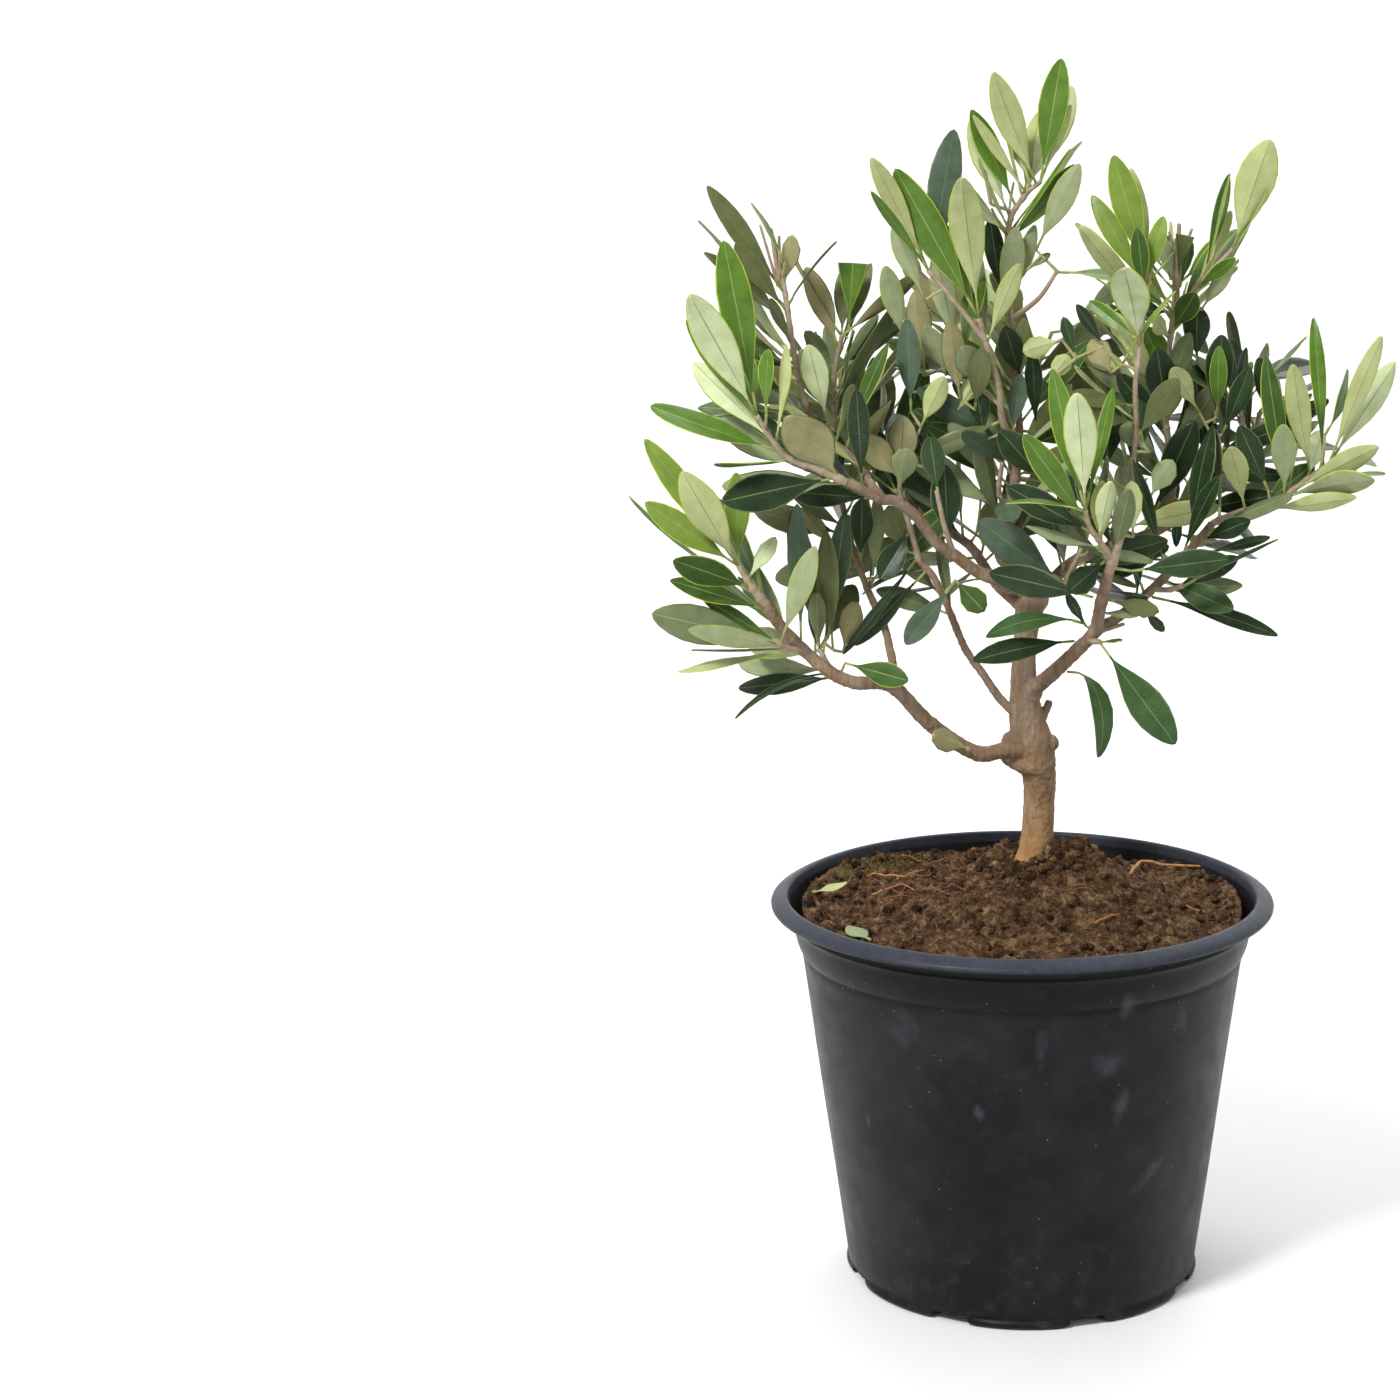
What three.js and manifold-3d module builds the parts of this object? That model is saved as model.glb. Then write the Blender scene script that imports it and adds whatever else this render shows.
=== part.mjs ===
// A young olive tree in a black nursery pot.
//
// Millimetres, +Z up. The origin is at the centre of the pot's flat underside. +X is the
// viewer's right and -Y is towards the viewer. A direction is an azimuth (degrees from +X
// towards +Y) with a rise (degrees above level), and a run is [azimuth, rise, length].
// Every limb, twig and leaf is worked out from such runs by the functions below.

import * as THREE from 'three';
import { mergeVertices } from 'three/addons/utils/BufferGeometryUtils.js';
import Module from 'manifold-3d';

const wasm = await Module();
wasm.setup();

// Driving dimensions of the pot

const POT_HEIGHT = 173.5;
const RIM_RADIUS = 110;
const BASE_RADIUS = 77;
const WALL_SPREAD = 0.1326;
const WALL = 2;
const FLOOR = 3;
const LIP_WIDTH = 7.5;
const LIP_DROP = 5.5;
const LIP_ROUND = 1.2;
const COLLAR_TOP = 162.5;
const COLLAR_FOOT = 149;
const COLLAR_STEP = 2.2;
const FOOT_COUNT = 8;
const FOOT_HEIGHT = 4;
const FIRST_NOTCH_AT = -68;
const NOTCH_WIDTH = 16;
const NOTCH_DEPTH = 12;
const POT_SIDES = 36;

// Driving dimensions of the soil and of the trunk's foot

const GAP = 0.3;
const TOLERANCE = 0.02;
const SOIL_EDGE = 163;
const SOIL_LUMP = 1.6;
const SOIL_RINGS = 6;
const TRUNK_FOOT = new THREE.Vector3(7, 28, 178.6);
const LANDING_RADIUS = 13;

// Driving dimensions of limbs, twigs and leaves

const TRUNK_SIDES = 12;
const TRUNK_ROWS = 20;
const BOUGH_SIDES = 5;
const ROWS_A_RUN = 1.3;
const TWIG_SIDES = 3;
const LEAF_SIDES = 3;
const LEAF_ROWS = 3;
const LEAF_LENGTH = 46;
const LEAF_SLENDERNESS = 0.28;
const LEAF_THICKNESS = 0.7;
const PETIOLE = 0.7;
const BLADE_START = 0.14;
const LEAF_CLEARANCE = 0.7;

// The trunk

const TRUNK_RUNS = [
  [-55, 85, 29], [-90, 75, 13], [-135, 75, 15], [-145, 75, 14],
  [-110, 80, 21], [-35, 85, 23], [-5, 80, 13], [150, 75, 8],
];

// The dead stub beside the low fork: share of the trunk's length, run and thickness
const STUB_AT = 0.4;
const STUB_RUN = [0, 65, 19];
const STUB_THICK = 4;

// Its radius at heights above the flat cut: root flare, stem, the swollen fork of the low
// boughs, neck, and the upper knot
const TRUNK_GIRTH = [
  [0, 10.2], [5, 8.2], [14, 7.3], [30, 7], [42, 7.6], [48, 8.8], [60, 9.2],
  [70, 7.6], [82, 6.2], [98, 5.2], [110, 5.3], [118, 6.3], [127, 6.2], [140, 5],
];

// Boughs: where each leaves its parent (share of the parent's length), its thickness at both
// ends, and its runs

const BOUGHS = {
  low_left_bough: {
    from: 'trunk', at: 0.35, thick: [7.6, 4.8],
    runs: [[-145, 10, 15], [-155, 0, 15], [-155, 35, 27], [-150, 45, 26],
      [-155, 10, 18], [-155, 30, 16], [-155, 45, 24], [-150, 55, 15]],
  },
  low_left_fork: {
    from: 'low_left_bough', at: 0.48, thick: [4, 2.6],
    runs: [[120, 70, 12], [130, 70, 16], [145, 60, 14], [140, 60, 9], [140, 65, 17], [130, 70, 27]],
  },
  slender_left_bough: {
    from: 'trunk', at: 0.46, thick: [4, 3],
    runs: [[-150, 45, 20], [-155, 55, 14], [-155, 55, 15], [-145, 65, 18], [-155, 65, 18],
      [-165, 50, 10]],
  },
  mid_left_bough: {
    from: 'trunk', at: 0.88, thick: [6, 3.8],
    runs: [[-150, 20, 15], [-160, 25, 14], [-145, 35, 12], [-145, 35, 13], [-145, 50, 16],
      [-145, 35, 13], [-145, 10, 7], [-155, 30, 12], [-150, 25, 6]],
  },
  left_upright_bough: {
    from: 'mid_left_bough', at: 0.77, thick: [3.4, 2.8],
    runs: [[155, 50, 23], [160, 35, 20], [155, 65, 10]],
  },
  leader: {
    from: 'trunk', at: 1, thick: [6.4, 3.8],
    runs: [[160, 30, 14], [60, 80, 12], [20, 75, 11], [-35, 80, 17], [-110, 65, 14]],
  },
  top_bough: {
    from: 'leader', at: 0.74, thick: [3.6, 3],
    runs: [[0, 85, 21], [120, 80, 22], [130, 86, 22]],
  },
  right_bough: {
    from: 'trunk', at: 0.56, thick: [6.8, 4.8],
    runs: [[-50, 35, 23], [-45, 40, 21], [-55, 40, 14], [-75, 55, 16], [-75, 55, 19]],
  },
  far_right_bough: {
    from: 'right_bough', at: 0.6, thick: [4.6, 3.6],
    runs: [[25, 25, 14], [25, 35, 20], [30, 40, 22], [25, 45, 15]],
  },
  back_right_bough: {
    from: 'trunk', at: 0.83, thick: [6, 3.6],
    runs: [[45, 30, 14], [35, 30, 18], [20, 15, 29], [25, 20, 16], [20, 40, 22], [15, 30, 17]],
  },
  centre_right_bough: {
    from: 'back_right_bough', at: 0.42, thick: [3.8, 2.8],
    runs: [[-60, 60, 31], [-80, 70, 12]],
  },
  upright_bough: {
    from: 'back_right_bough', at: 0.66, thick: [4, 3.2],
    runs: [[75, 85, 24], [-175, 85, 12]],
  },
  back_left_bough: {
    from: 'trunk', at: 0.78, thick: [5.2, 3],
    runs: [[150, 35, 20], [140, 45, 22], [150, 25, 24], [140, 40, 20]],
  },
  back_bough: {
    from: 'leader', at: 0.4, thick: [4.6, 3],
    runs: [[90, 35, 18], [75, 50, 22], [95, 60, 22]],
  },
};

// Foliage: each mass has one stem that goes on from its bough, with side twigs. A twig is its
// share along the stem, its runs, its number of seeded leaf pairs, and the leaves that shape
// the crown's outline, each [share along, azimuth, rise, length, width, side that shows]. The
// side is how far the blade is rolled from showing its upper side to the viewer.

const TOP = 0;
const UNDER = 180;
const EDGE = 90;

const FOLIAGE = {
  low_left_foliage: {
    from: 'low_left_bough', at: 1, seed: 111, twigs: [
      [0, [[-150, 50, 10], [-160, 60, 11]], 2, [
        [1, -160, 55, 67, 11, TOP], [1, -135, 55, 51, 16, UNDER], [1, -175, 35, 48, 12, TOP],
        [0.2, 180, 30, 72, 5, EDGE], [0.67, 30, 55, 23, 8, UNDER]]],
    ],
  },
  low_left_side_foliage: {
    from: 'low_left_bough', at: 0.81, seed: 1012, twigs: [
      [0, [[-130, 15, 10], [-135, 30, 8]], 1, [
        [0.82, -170, 15, 56, 17, UNDER], [0.67, 175, 30, 40, 7, TOP], [0.53, -150, 15, 46, 9, UNDER],
        [0.35, -165, 0, 44, 4, EDGE], [1, 150, 45, 34, 9, TOP], [0.78, -20, 70, 45, 11, UNDER]]],
    ],
  },
  low_left_inner_foliage: {
    from: 'low_left_bough', at: 0.66, seed: 1113, twigs: [
      [0, [[130, 20, 10], [145, 50, 10]], 1, [
        [0.3, -160, -20, 49, 4, EDGE], [0.25, -20, 0, 31, 11, TOP], [0.84, 35, 80, 63, 11, TOP],
        [1, 170, 80, 63, 11, TOP], [1, -90, 65, 30, 8, UNDER]]],
    ],
  },
  low_left_root_sprig: {
    from: 'low_left_bough', at: 0.25, seed: 714, twigs: [
      [0, [[-120, 25, 8]], 0, [[0.8, -140, 25, 24, 11, UNDER]]],
    ],
  },
  inner_left_foliage: {
    from: 'slender_left_bough', at: 1, seed: 915, twigs: [
      [0, [[-175, 75, 14], [150, 70, 14], [105, 75, 9]], 3, [
        [0.34, -140, -50, 26, 12, TOP], [0.1, -85, -75, 41, 13, UNDER], [0.05, -155, -50, 54, 5, TOP],
        [1, 5, 85, 27, 14, TOP], [0.98, -150, 50, 26, 13, UNDER], [0.81, -70, 60, 21, 12, UNDER]]],
    ],
  },
  upper_left_inner_foliage: {
    from: 'low_left_fork', at: 1, seed: 316, twigs: [
      [0, [[135, 85, 33], [-20, 85, 16], [-35, 75, 16]], 4, [
        [0.87, -165, 70, 39, 11, UNDER], [0.97, 30, 85, 32, 9, TOP], [0.93, 40, 60, 37, 7, TOP],
        [0.27, -135, 60, 37, 12, UNDER], [0.67, 155, 50, 22, 8, UNDER]]],
    ],
  },
  left_foliage: {
    from: 'mid_left_bough', at: 1, seed: 617, twigs: [
      [0, [[-160, 25, 15], [-160, 25, 14], [-160, 55, 21]], 3, [
        [0.99, -155, 80, 74, 15, TOP], [0.99, -145, 60, 64, 16, UNDER], [0.87, -170, 55, 58, 9, TOP],
        [0.06, -140, 50, 42, 21, UNDER], [0.1, -150, -5, 52, 17, TOP]]],
    ],
  },
  upper_left_foliage: {
    from: 'left_upright_bough', at: 1, seed: 1118, twigs: [
      [0, [[150, 75, 18], [150, 80, 20], [145, 80, 19], [160, 75, 14]], 3, [
        [0.63, -165, 55, 57, 9, TOP], [0.66, 160, 45, 44, 6, UNDER], [0.53, -145, 50, 39, 9, TOP],
        [0.69, -15, 75, 22, 9, UNDER], [0.57, 35, 55, 36, 4, EDGE], [0.34, -135, 60, 29, 5, UNDER]]],
    ],
  },
  top_foliage: {
    from: 'top_bough', at: 1, seed: 119, twigs: [
      [0, [[165, 85, 21], [-80, 85, 24], [-15, 60, 14], [-15, 40, 9]], 3, [
        [0.93, -160, 65, 53, 13, UNDER], [0.85, 160, 70, 38, 9, UNDER], [0.77, -165, 55, 41, 5, UNDER],
        [0.99, -15, 80, 52, 13, TOP], [0.99, 30, 65, 35, 5, UNDER], [0.42, -25, 50, 49, 4, EDGE],
        [0.4, -10, 50, 45, 9, TOP], [0.2, 135, 80, 47, 6, EDGE], [0.15, -10, 70, 34, 8, UNDER]]],
      [0.05, [[-30, 35, 16], [-10, 55, 14]], 3, []],
    ],
  },
  upper_middle_foliage: {
    from: 'leader', at: 1, seed: 1020, twigs: [
      [0, [[-125, 55, 12], [-100, 65, 14], [-120, 65, 12], [-115, 55, 11], [-125, 65, 13]], 3, [
        [1, -160, 60, 73, 15, TOP], [1, -110, 70, 68, 15, UNDER], [0.95, -170, 70, 53, 6, TOP],
        [0.81, 10, 70, 38, 9, UNDER]]],
      [0.3, [[160, 40, 18], [150, 60, 16]], 3, [
        [0.9, -150, 75, 42, 11, UNDER], [0.3, -120, 50, 26, 12, UNDER]]],
      [0.85, [[-155, 50, 19], [-165, 50, 20]], 3, [
        [1, -165, 65, 56, 9, UNDER], [0.95, -140, 50, 49, 5, TOP], [1, 155, 65, 37, 8, UNDER],
        [0.97, 55, 75, 60, 14, TOP]]],
    ],
  },
  front_foliage: {
    from: 'right_bough', at: 1, seed: 621, twigs: [
      [0, [[-65, 55, 15], [-60, 60, 11]], 1, [[0.2, -75, 55, 43, 9, UNDER]]],
      [0.24, [[-125, 40, 11], [-130, 45, 11], [-120, 60, 9]], 2, [
        [0.99, -110, 80, 55, 14, UNDER], [0.99, 175, 75, 60, 11, TOP], [0.99, 35, 75, 54, 6, TOP],
        [0.65, -140, 50, 53, 11, TOP], [0.44, -70, 65, 29, 9, UNDER]]],
    ],
  },
  right_foliage: {
    from: 'far_right_bough', at: 1, seed: 552, twigs: [
      [0, [[10, 20, 14], [5, 10, 12], [10, 35, 18], [10, 35, 13]], 4, [
        [0.99, -10, 70, 59, 9, UNDER], [0.99, 15, 55, 52, 12, UNDER], [0.93, 105, 80, 66, 7, TOP],
        [0.8, -145, 75, 53, 11, UNDER], [0.66, -15, 30, 42, 10, UNDER], [0.6, -100, 75, 36, 11, UNDER],
        [0.62, 130, 75, 60, 10, TOP], [0.27, -120, 65, 38, 11, UNDER]]],
    ],
  },
  lower_right_foliage: {
    from: 'far_right_bough', at: 0.47, seed: 323, twigs: [
      [0, [[-35, 5, 9], [-40, 20, 7]], 1, [
        [0.52, 5, 25, 32, 9, TOP], [1, -20, -20, 28, 11, TOP], [0.95, 0, -25, 51, 6, TOP],
        [1, 15, 25, 46, 4, EDGE]]],
    ],
  },
  drooping_foliage: {
    from: 'right_bough', at: 0.5, seed: 924, twigs: [
      [0, [[-75, 5, 8], [-55, 5, 4]], 0, [
        [1, -25, -50, 54, 16, TOP], [0.6, -75, -80, 50, 6, UNDER], [0.5, -165, 0, 47, 9, TOP],
        [0.8, -160, -5, 54, 10, TOP]]],
    ],
  },
  back_right_foliage: {
    from: 'back_right_bough', at: 1, seed: 325, twigs: [
      [0, [[40, 50, 14], [60, 65, 14]], 3, []],
      [0.5, [[100, 40, 18], [90, 60, 14]], 3, []],
      [0.2, [[-100, 60, 18], [-120, 75, 14]], 3, []],
    ],
  },
  top_right_foliage: {
    from: 'upright_bough', at: 1, seed: 426, twigs: [
      [0, [[-175, 85, 15], [-60, 85, 27], [-45, 80, 22], [-100, 85, 26]], 5, [
        [0.95, -140, -40, 43, 3, EDGE], [0.58, -65, 40, 27, 11, TOP],
        [0.55, -125, 30, 20, 9, UNDER], [0.3, -50, 65, 32, 10, UNDER],
        [0.12, -100, 60, 40, 15, TOP]]],
      [0.62, [[-40, 55, 13], [-30, 50, 13], [-20, 45, 17]], 1, [
        [0.64, 20, 75, 48, 6, TOP], [1, -30, 70, 49, 17, UNDER], [1, 40, 60, 45, 11, TOP],
        [1, -10, 55, 30, 4, EDGE], [0.52, -60, 25, 32, 6, TOP]]],
      [0.55, [[80, 50, 20], [60, 65, 16]], 3, []],
    ],
  },
  centre_right_foliage: {
    from: 'centre_right_bough', at: 1, seed: 127, twigs: [
      [0, [[-80, 70, 17], [-95, 70, 21], [-55, 80, 14], [50, 80, 18], [50, 80, 15]], 5, [
        [1, -150, 70, 53, 13, TOP], [1, 155, 80, 46, 9, UNDER], [0.92, -175, 60, 47, 9, TOP],
        [0.63, -105, 60, 48, 17, UNDER], [0.97, -45, 75, 28, 8, TOP],
        [0.66, 155, 35, 30, 7, TOP], [0.15, -40, 50, 36, 12, TOP]]],
    ],
  },
  centre_foliage: {
    from: 'back_right_bough', at: 0.24, seed: 228, twigs: [
      [0, [[-80, -5, 12], [-95, -5, 8]], 1, [
        [0.97, -160, 35, 48, 17, TOP], [0.97, -165, -5, 40, 13, TOP], [0.55, -165, 55, 69, 15, TOP],
        [0.55, -175, -15, 47, 11, UNDER]]],
      [0.9, [[-60, 50, 18], [-20, 70, 16]], 2, []],
    ],
  },
  centre_left_foliage: {
    from: 'mid_left_bough', at: 0.35, seed: 331, twigs: [[0, [[-120, 60, 16], [-140, 75, 16]], 3, []]],
  },
  leader_foliage: {
    from: 'leader', at: 0.55, seed: 832, twigs: [[0, [[-110, 40, 16], [-80, 60, 16]], 3, []]],
  },
  inner_right_foliage: {
    from: 'back_right_bough', at: 0.8, seed: 533, twigs: [[0, [[-70, 55, 16], [-60, 70, 14]], 3, []]],
  },
  back_left_foliage: {
    from: 'back_left_bough', at: 1, seed: 1029, twigs: [
      [0, [[150, 40, 20], [135, 55, 18]], 3, []],
      [0.4, [[100, 45, 20], [95, 60, 16]], 3, []],
      [0.5, [[-160, 50, 18], [170, 60, 14]], 3, []],
    ],
  },
  back_foliage: {
    from: 'back_bough', at: 1, seed: 830, twigs: [
      [0, [[90, 65, 20], [80, 70, 22]], 4, []],
      [0.2, [[30, 45, 20], [40, 60, 16]], 3, []],
      [0.3, [[150, 45, 20], [140, 60, 16]], 3, []],
    ],
  },
};

// The growth rule's own sizes: ranges are drawn between by a seeded rule

const STEM_END = 2;
const SIDE_TWIG = [2.6, 1.7];
const PAIR_START = 0.18;
const SPREAD = [32, 62];
const ROLL_JITTER = 20;
const LENGTH_SHARE = [0.72, 1.18];
const CURL = [-26, 14];
const TURN = 50;
const SHOW_JITTER = 18;
const SPRAY_CHANCE = 0.2;
const SPRAY_SHARE = 1.15;
const SINK = 0.2;
const VIEWER = new THREE.Vector3(0, -1, 0.15);

const radians = THREE.MathUtils.degToRad;
const degrees = THREE.MathUtils.radToDeg;

class Chance {
  constructor(seed) {
    this.state = seed;
  }

  next() {
    this.state = (1664525 * this.state + 1013904223) % 4294967296;
    return this.state / 4294967296;
  }

  between(low, high) {
    return low + (high - low) * this.next();
  }
}

// Directions and routes

function heading(azimuth, rise) {
  const [a, r] = [radians(azimuth), radians(rise)];
  return new THREE.Vector3(Math.cos(r) * Math.cos(a), Math.cos(r) * Math.sin(a), Math.sin(r));
}

// The two directions square to a heading: level to its left, and as near upright as can be
function across(direction) {
  const azimuth = Math.atan2(direction.y, direction.x);
  const side = new THREE.Vector3(-Math.sin(azimuth), Math.cos(azimuth), 0);
  const lift = direction.clone().cross(side);
  return { side, lift };
}

function route(start, runs) {
  const points = [start.clone()];
  for (const [azimuth, rise, length] of runs) {
    points.push(heading(azimuth, rise).multiplyScalar(length).add(points.at(-1)));
  }
  return new THREE.CatmullRomCurve3(points, false, 'catmullrom', 0.5);
}

// Solids

function solidOf(geometry) {
  geometry.deleteAttribute('normal');
  geometry.deleteAttribute('uv');
  const merged = mergeVertices(geometry, 1e-4);
  const corners = [];
  for (let i = 0; i < merged.index.count; i += 3) {
    const [a, b, c] = [0, 1, 2].map((k) => merged.index.getX(i + k));
    if (a !== b && b !== c && c !== a) corners.push(a, b, c);
  }
  const solid = new wasm.Manifold(new wasm.Mesh({
    numProp: 3,
    vertProperties: new Float32Array(merged.attributes.position.array),
    triVerts: new Uint32Array(corners),
  }));
  return solid;
}

// A cylinder or cone bent along a route: place(along, x, z) gives the spot of the vertex that
// lies at that share of the height and at x, z on the unit circle
function bent(sides, rows, pointed, place) {
  const shape = pointed
    ? new THREE.ConeGeometry(1, 1, sides, rows)
    : new THREE.CylinderGeometry(1, 1, 1, sides, rows);
  const spots = shape.attributes.position;
  for (let i = 0; i < spots.count; i++) {
    const along = Math.round((spots.getY(i) + 0.5) * rows) / rows;
    const widen = pointed && along < 1 ? 1 / (1 - along) : 1;
    const spot = place(along, spots.getX(i) * widen, spots.getZ(i) * widen);
    spots.setXYZ(i, spot.x, spot.y, spot.z);
  }
  return solidOf(shape);
}

// A tapering limb of round section. extra grows it all round and past both ends, and a level
// foot lies flat.
function tube(curve, girth, sides, rows, extra = 0, levelFoot = false) {
  const { tangents, normals, binormals } = curve.computeFrenetFrames(rows, false);
  if (levelFoot) {
    tangents[0].set(0, 0, 1);
    normals[0].setZ(0).normalize();
    binormals[0].crossVectors(tangents[0], normals[0]);
  }
  return bent(sides, rows, false, (along, x, z) => {
    const ring = Math.round(along * rows);
    const radius = girth(along) + extra;
    const past = { 0: -extra, [rows]: extra }[ring] ?? 0;
    return curve.getPoint(along)
      .addScaledVector(tangents[ring], past)
      .addScaledVector(normals[ring], x * radius)
      .addScaledVector(binormals[ring], -z * radius);
  });
}

// The roll that shows a blade's upper side to the viewer
function rollToViewer(direction) {
  const { side, lift } = across(direction);
  return degrees(Math.atan2(VIEWER.dot(side), VIEWER.dot(lift)));
}

// The share of its full width that a leaf has at a share of its length
function outline(t) {
  return Math.sin(Math.PI * t ** 1.15) ** 0.75;
}

// A leaf: a blade with a flat upper side and a keel below, on a short stalk. A probe is the
// part of it beyond the share from, grown by extra, and tells whether leaves touch.
function leafSolid(leaf, from = 0, extra = 0) {
  const { side, lift } = across(leaf.direction);
  const turn = radians(leaf.turn);
  const up = lift.multiplyScalar(Math.cos(turn)).addScaledVector(side, Math.sin(turn));
  const width = up.clone().cross(leaf.direction);
  const curl = radians(leaf.curl);
  const radius = leaf.length / curl;
  return bent(LEAF_SIDES, LEAF_ROWS, true, (along, x, z) => {
    const t = from + (1 - from) * along;
    const tip = along === 1;
    const half = tip ? 0 : Math.max(leaf.width / 2 * outline(t), PETIOLE / 2) + extra;
    const keel = tip ? 0 : extra - (z + 0.5) / 1.5 * (LEAF_THICKNESS + 2 * extra);
    return leaf.base.clone()
      .addScaledVector(leaf.direction, radius * Math.sin(curl * t) - SINK)
      .addScaledVector(up, radius * (1 - Math.cos(curl * t)) + keel)
      .addScaledVector(width, x / Math.cos(Math.PI / 6) * half);
  });
}

// The largest body of a solid, without loose scraps
function largest(solid) {
  return solid.decompose().reduce((best, piece) => (piece.volume() > best.volume() ? piece : best));
}

// Trunk and boughs

function trunkGirth(curve) {
  return (along) => {
    const height = curve.getPoint(along).z - TRUNK_FOOT.z;
    const next = Math.max(1, TRUNK_GIRTH.findIndex(([level]) => level >= height));
    const [[low, from], [high, to]] = [TRUNK_GIRTH[next - 1], TRUNK_GIRTH[next]];
    return from + (to - from) * Math.min(1, Math.max(0, (height - low) / (high - low)));
  };
}

function limbGirth([from, to], length) {
  const flare = 0.15 * from;
  return (along) => (from + (to - from) * along) / 2 + flare * Math.exp(-along * length / 6);
}

function growTrunk() {
  const curve = route(TRUNK_FOOT, TRUNK_RUNS);
  const girth = trunkGirth(curve);
  const stub = route(curve.getPoint(STUB_AT), [STUB_RUN]);
  const whole = (extra) => {
    const stem = tube(curve, girth, TRUNK_SIDES, TRUNK_ROWS, extra, true);
    return stem.add(tube(stub, () => STUB_THICK / 2, BOUGH_SIDES, 1, extra));
  };
  return { curve, solid: whole(0), grown: whole(GAP) };
}

function growBough(bough, parent) {
  const curve = route(parent.curve.getPoint(bough.at), bough.runs);
  const rows = Math.round(ROWS_A_RUN * bough.runs.length);
  const girth = limbGirth(bough.thick, curve.getLength());
  return {
    curve,
    thick: bough.thick,
    solid: largest(tube(curve, girth, BOUGH_SIDES, rows).subtract(parent.grown)),
    grown: tube(curve, girth, BOUGH_SIDES, rows, GAP),
  };
}

function growLimbs() {
  const limbs = { trunk: growTrunk() };
  for (const [name, bough] of Object.entries(BOUGHS)) {
    limbs[name] = growBough(bough, limbs[bough.from]);
  }
  return limbs;
}

// Twigs and leaves. taken holds what has grown so far, which each new twig or leaf keeps clear of.

const taken = [];

function touches(mass, twig, probe) {
  return taken.some((other) => {
    const own = other.mass === mass && (other.twig === twig || other.isTwig);
    return !own && !other.probe.intersect(probe).isEmpty();
  });
}

function addTwig(mass, start, runs, thick) {
  const curve = route(start, runs);
  const rows = Math.max(2, runs.length);
  const girth = (along) => (thick[0] + (thick[1] - thick[0]) * along) / 2;
  const twig = { curve, solid: tube(curve, girth, TWIG_SIDES, rows) };
  const probe = tube(curve, (along) => girth(along) + LEAF_CLEARANCE, TWIG_SIDES, rows);
  mass.pieces.push(twig.solid);
  taken.push({ mass, twig, isTwig: true, probe });
  return twig;
}

function addLeaf(mass, twig, leaf) {
  const probe = leafSolid(leaf, BLADE_START, LEAF_CLEARANCE / 2);
  if (touches(mass, twig, probe)) return;
  taken.push({ mass, twig, probe });
  mass.pieces.push(leafSolid(leaf));
}

// A leaf of a pair leaves its twig at an angle to it, at roll degrees round it
function pairDirection(tangent, roll, spread) {
  const { side, lift } = across(tangent);
  return tangent.clone().multiplyScalar(Math.cos(radians(spread)))
    .addScaledVector(side, Math.sin(radians(spread)) * Math.cos(radians(roll)))
    .addScaledVector(lift, Math.sin(radians(spread)) * Math.sin(radians(roll)));
}

// Seeded pairs of leaves, each pair turned a quarter from the last. Now and then a larger leaf
// stands for a spray.
function growPairs(mass, { twig, pairs }) {
  const { chance } = mass;
  const first = chance.between(0, 180);
  for (let pair = 0; pair < pairs; pair++) {
    const along = PAIR_START + (1 - PAIR_START) * (pair + 1) / pairs;
    const base = twig.curve.getPoint(along);
    const tangent = twig.curve.getTangent(along);
    for (const half of [0, 180]) {
      const roll = first + 90 * pair + half + chance.between(-ROLL_JITTER, ROLL_JITTER);
      const direction = pairDirection(tangent, roll, chance.between(...SPREAD));
      const length = LEAF_LENGTH * chance.between(...LENGTH_SHARE);
      const turn = chance.between(-TURN, TURN);
      const curl = chance.between(...CURL);
      const share = chance.next() < SPRAY_CHANCE ? SPRAY_SHARE : 1;
      const width = length * share * LEAF_SLENDERNESS;
      addLeaf(mass, twig, { base, direction, length: length * share, width, turn, curl });
    }
  }
}

function growTwigs({ from, at, seed, twigs }, limbs) {
  const limb = limbs[from];
  const mass = { limb, pieces: [], chance: new Chance(seed), twigs: [] };
  for (const [share, runs, pairs, leaves] of twigs) {
    const stem = mass.twigs[0]?.twig;
    const start = stem ? stem.curve.getPoint(share) : limb.curve.getPoint(at);
    const thick = stem ? SIDE_TWIG : [at === 1 ? limb.thick[1] - GAP : SIDE_TWIG[0], STEM_END];
    const twig = addTwig(mass, start, runs, thick);
    mass.twigs.push({ twig, pairs, leaves });
  }
  return mass;
}

function growListed(mass, { twig, leaves }) {
  for (const [where, azimuth, rise, length, width, shows] of leaves) {
    const curl = mass.chance.between(...CURL);
    const direction = heading(azimuth, rise);
    const jitter = mass.chance.between(-SHOW_JITTER, SHOW_JITTER);
    const turn = rollToViewer(direction) + shows + jitter;
    const base = twig.curve.getPoint(where);
    addLeaf(mass, twig, { base, direction, length, width, turn, curl });
  }
}

// All twigs first, then the listed leaves, then the seeded ones, so that leaves give way to twigs
function growFoliage(limbs) {
  for (const limb of Object.values(limbs)) taken.push({ probe: limb.grown });
  const masses = Object.values(FOLIAGE).map((plan) => growTwigs(plan, limbs));
  for (const mass of masses) {
    for (const planned of mass.twigs) growListed(mass, planned);
  }
  for (const mass of masses) {
    for (const planned of mass.twigs) growPairs(mass, planned);
  }
  return masses.map((mass) => {
    const joined = wasm.Manifold.union(mass.pieces);
    return largest(joined.subtract(mass.limb.grown).simplify(TOLERANCE));
  });
}

// Pot and soil

function wallRadius(height) {
  return BASE_RADIUS + WALL_SPREAD * height;
}

function turned(profile, sides) {
  const points = profile.map(([radius, height]) => new THREE.Vector2(radius, height));
  return new THREE.LatheGeometry(points, sides).rotateX(Math.PI / 2);
}

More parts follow.
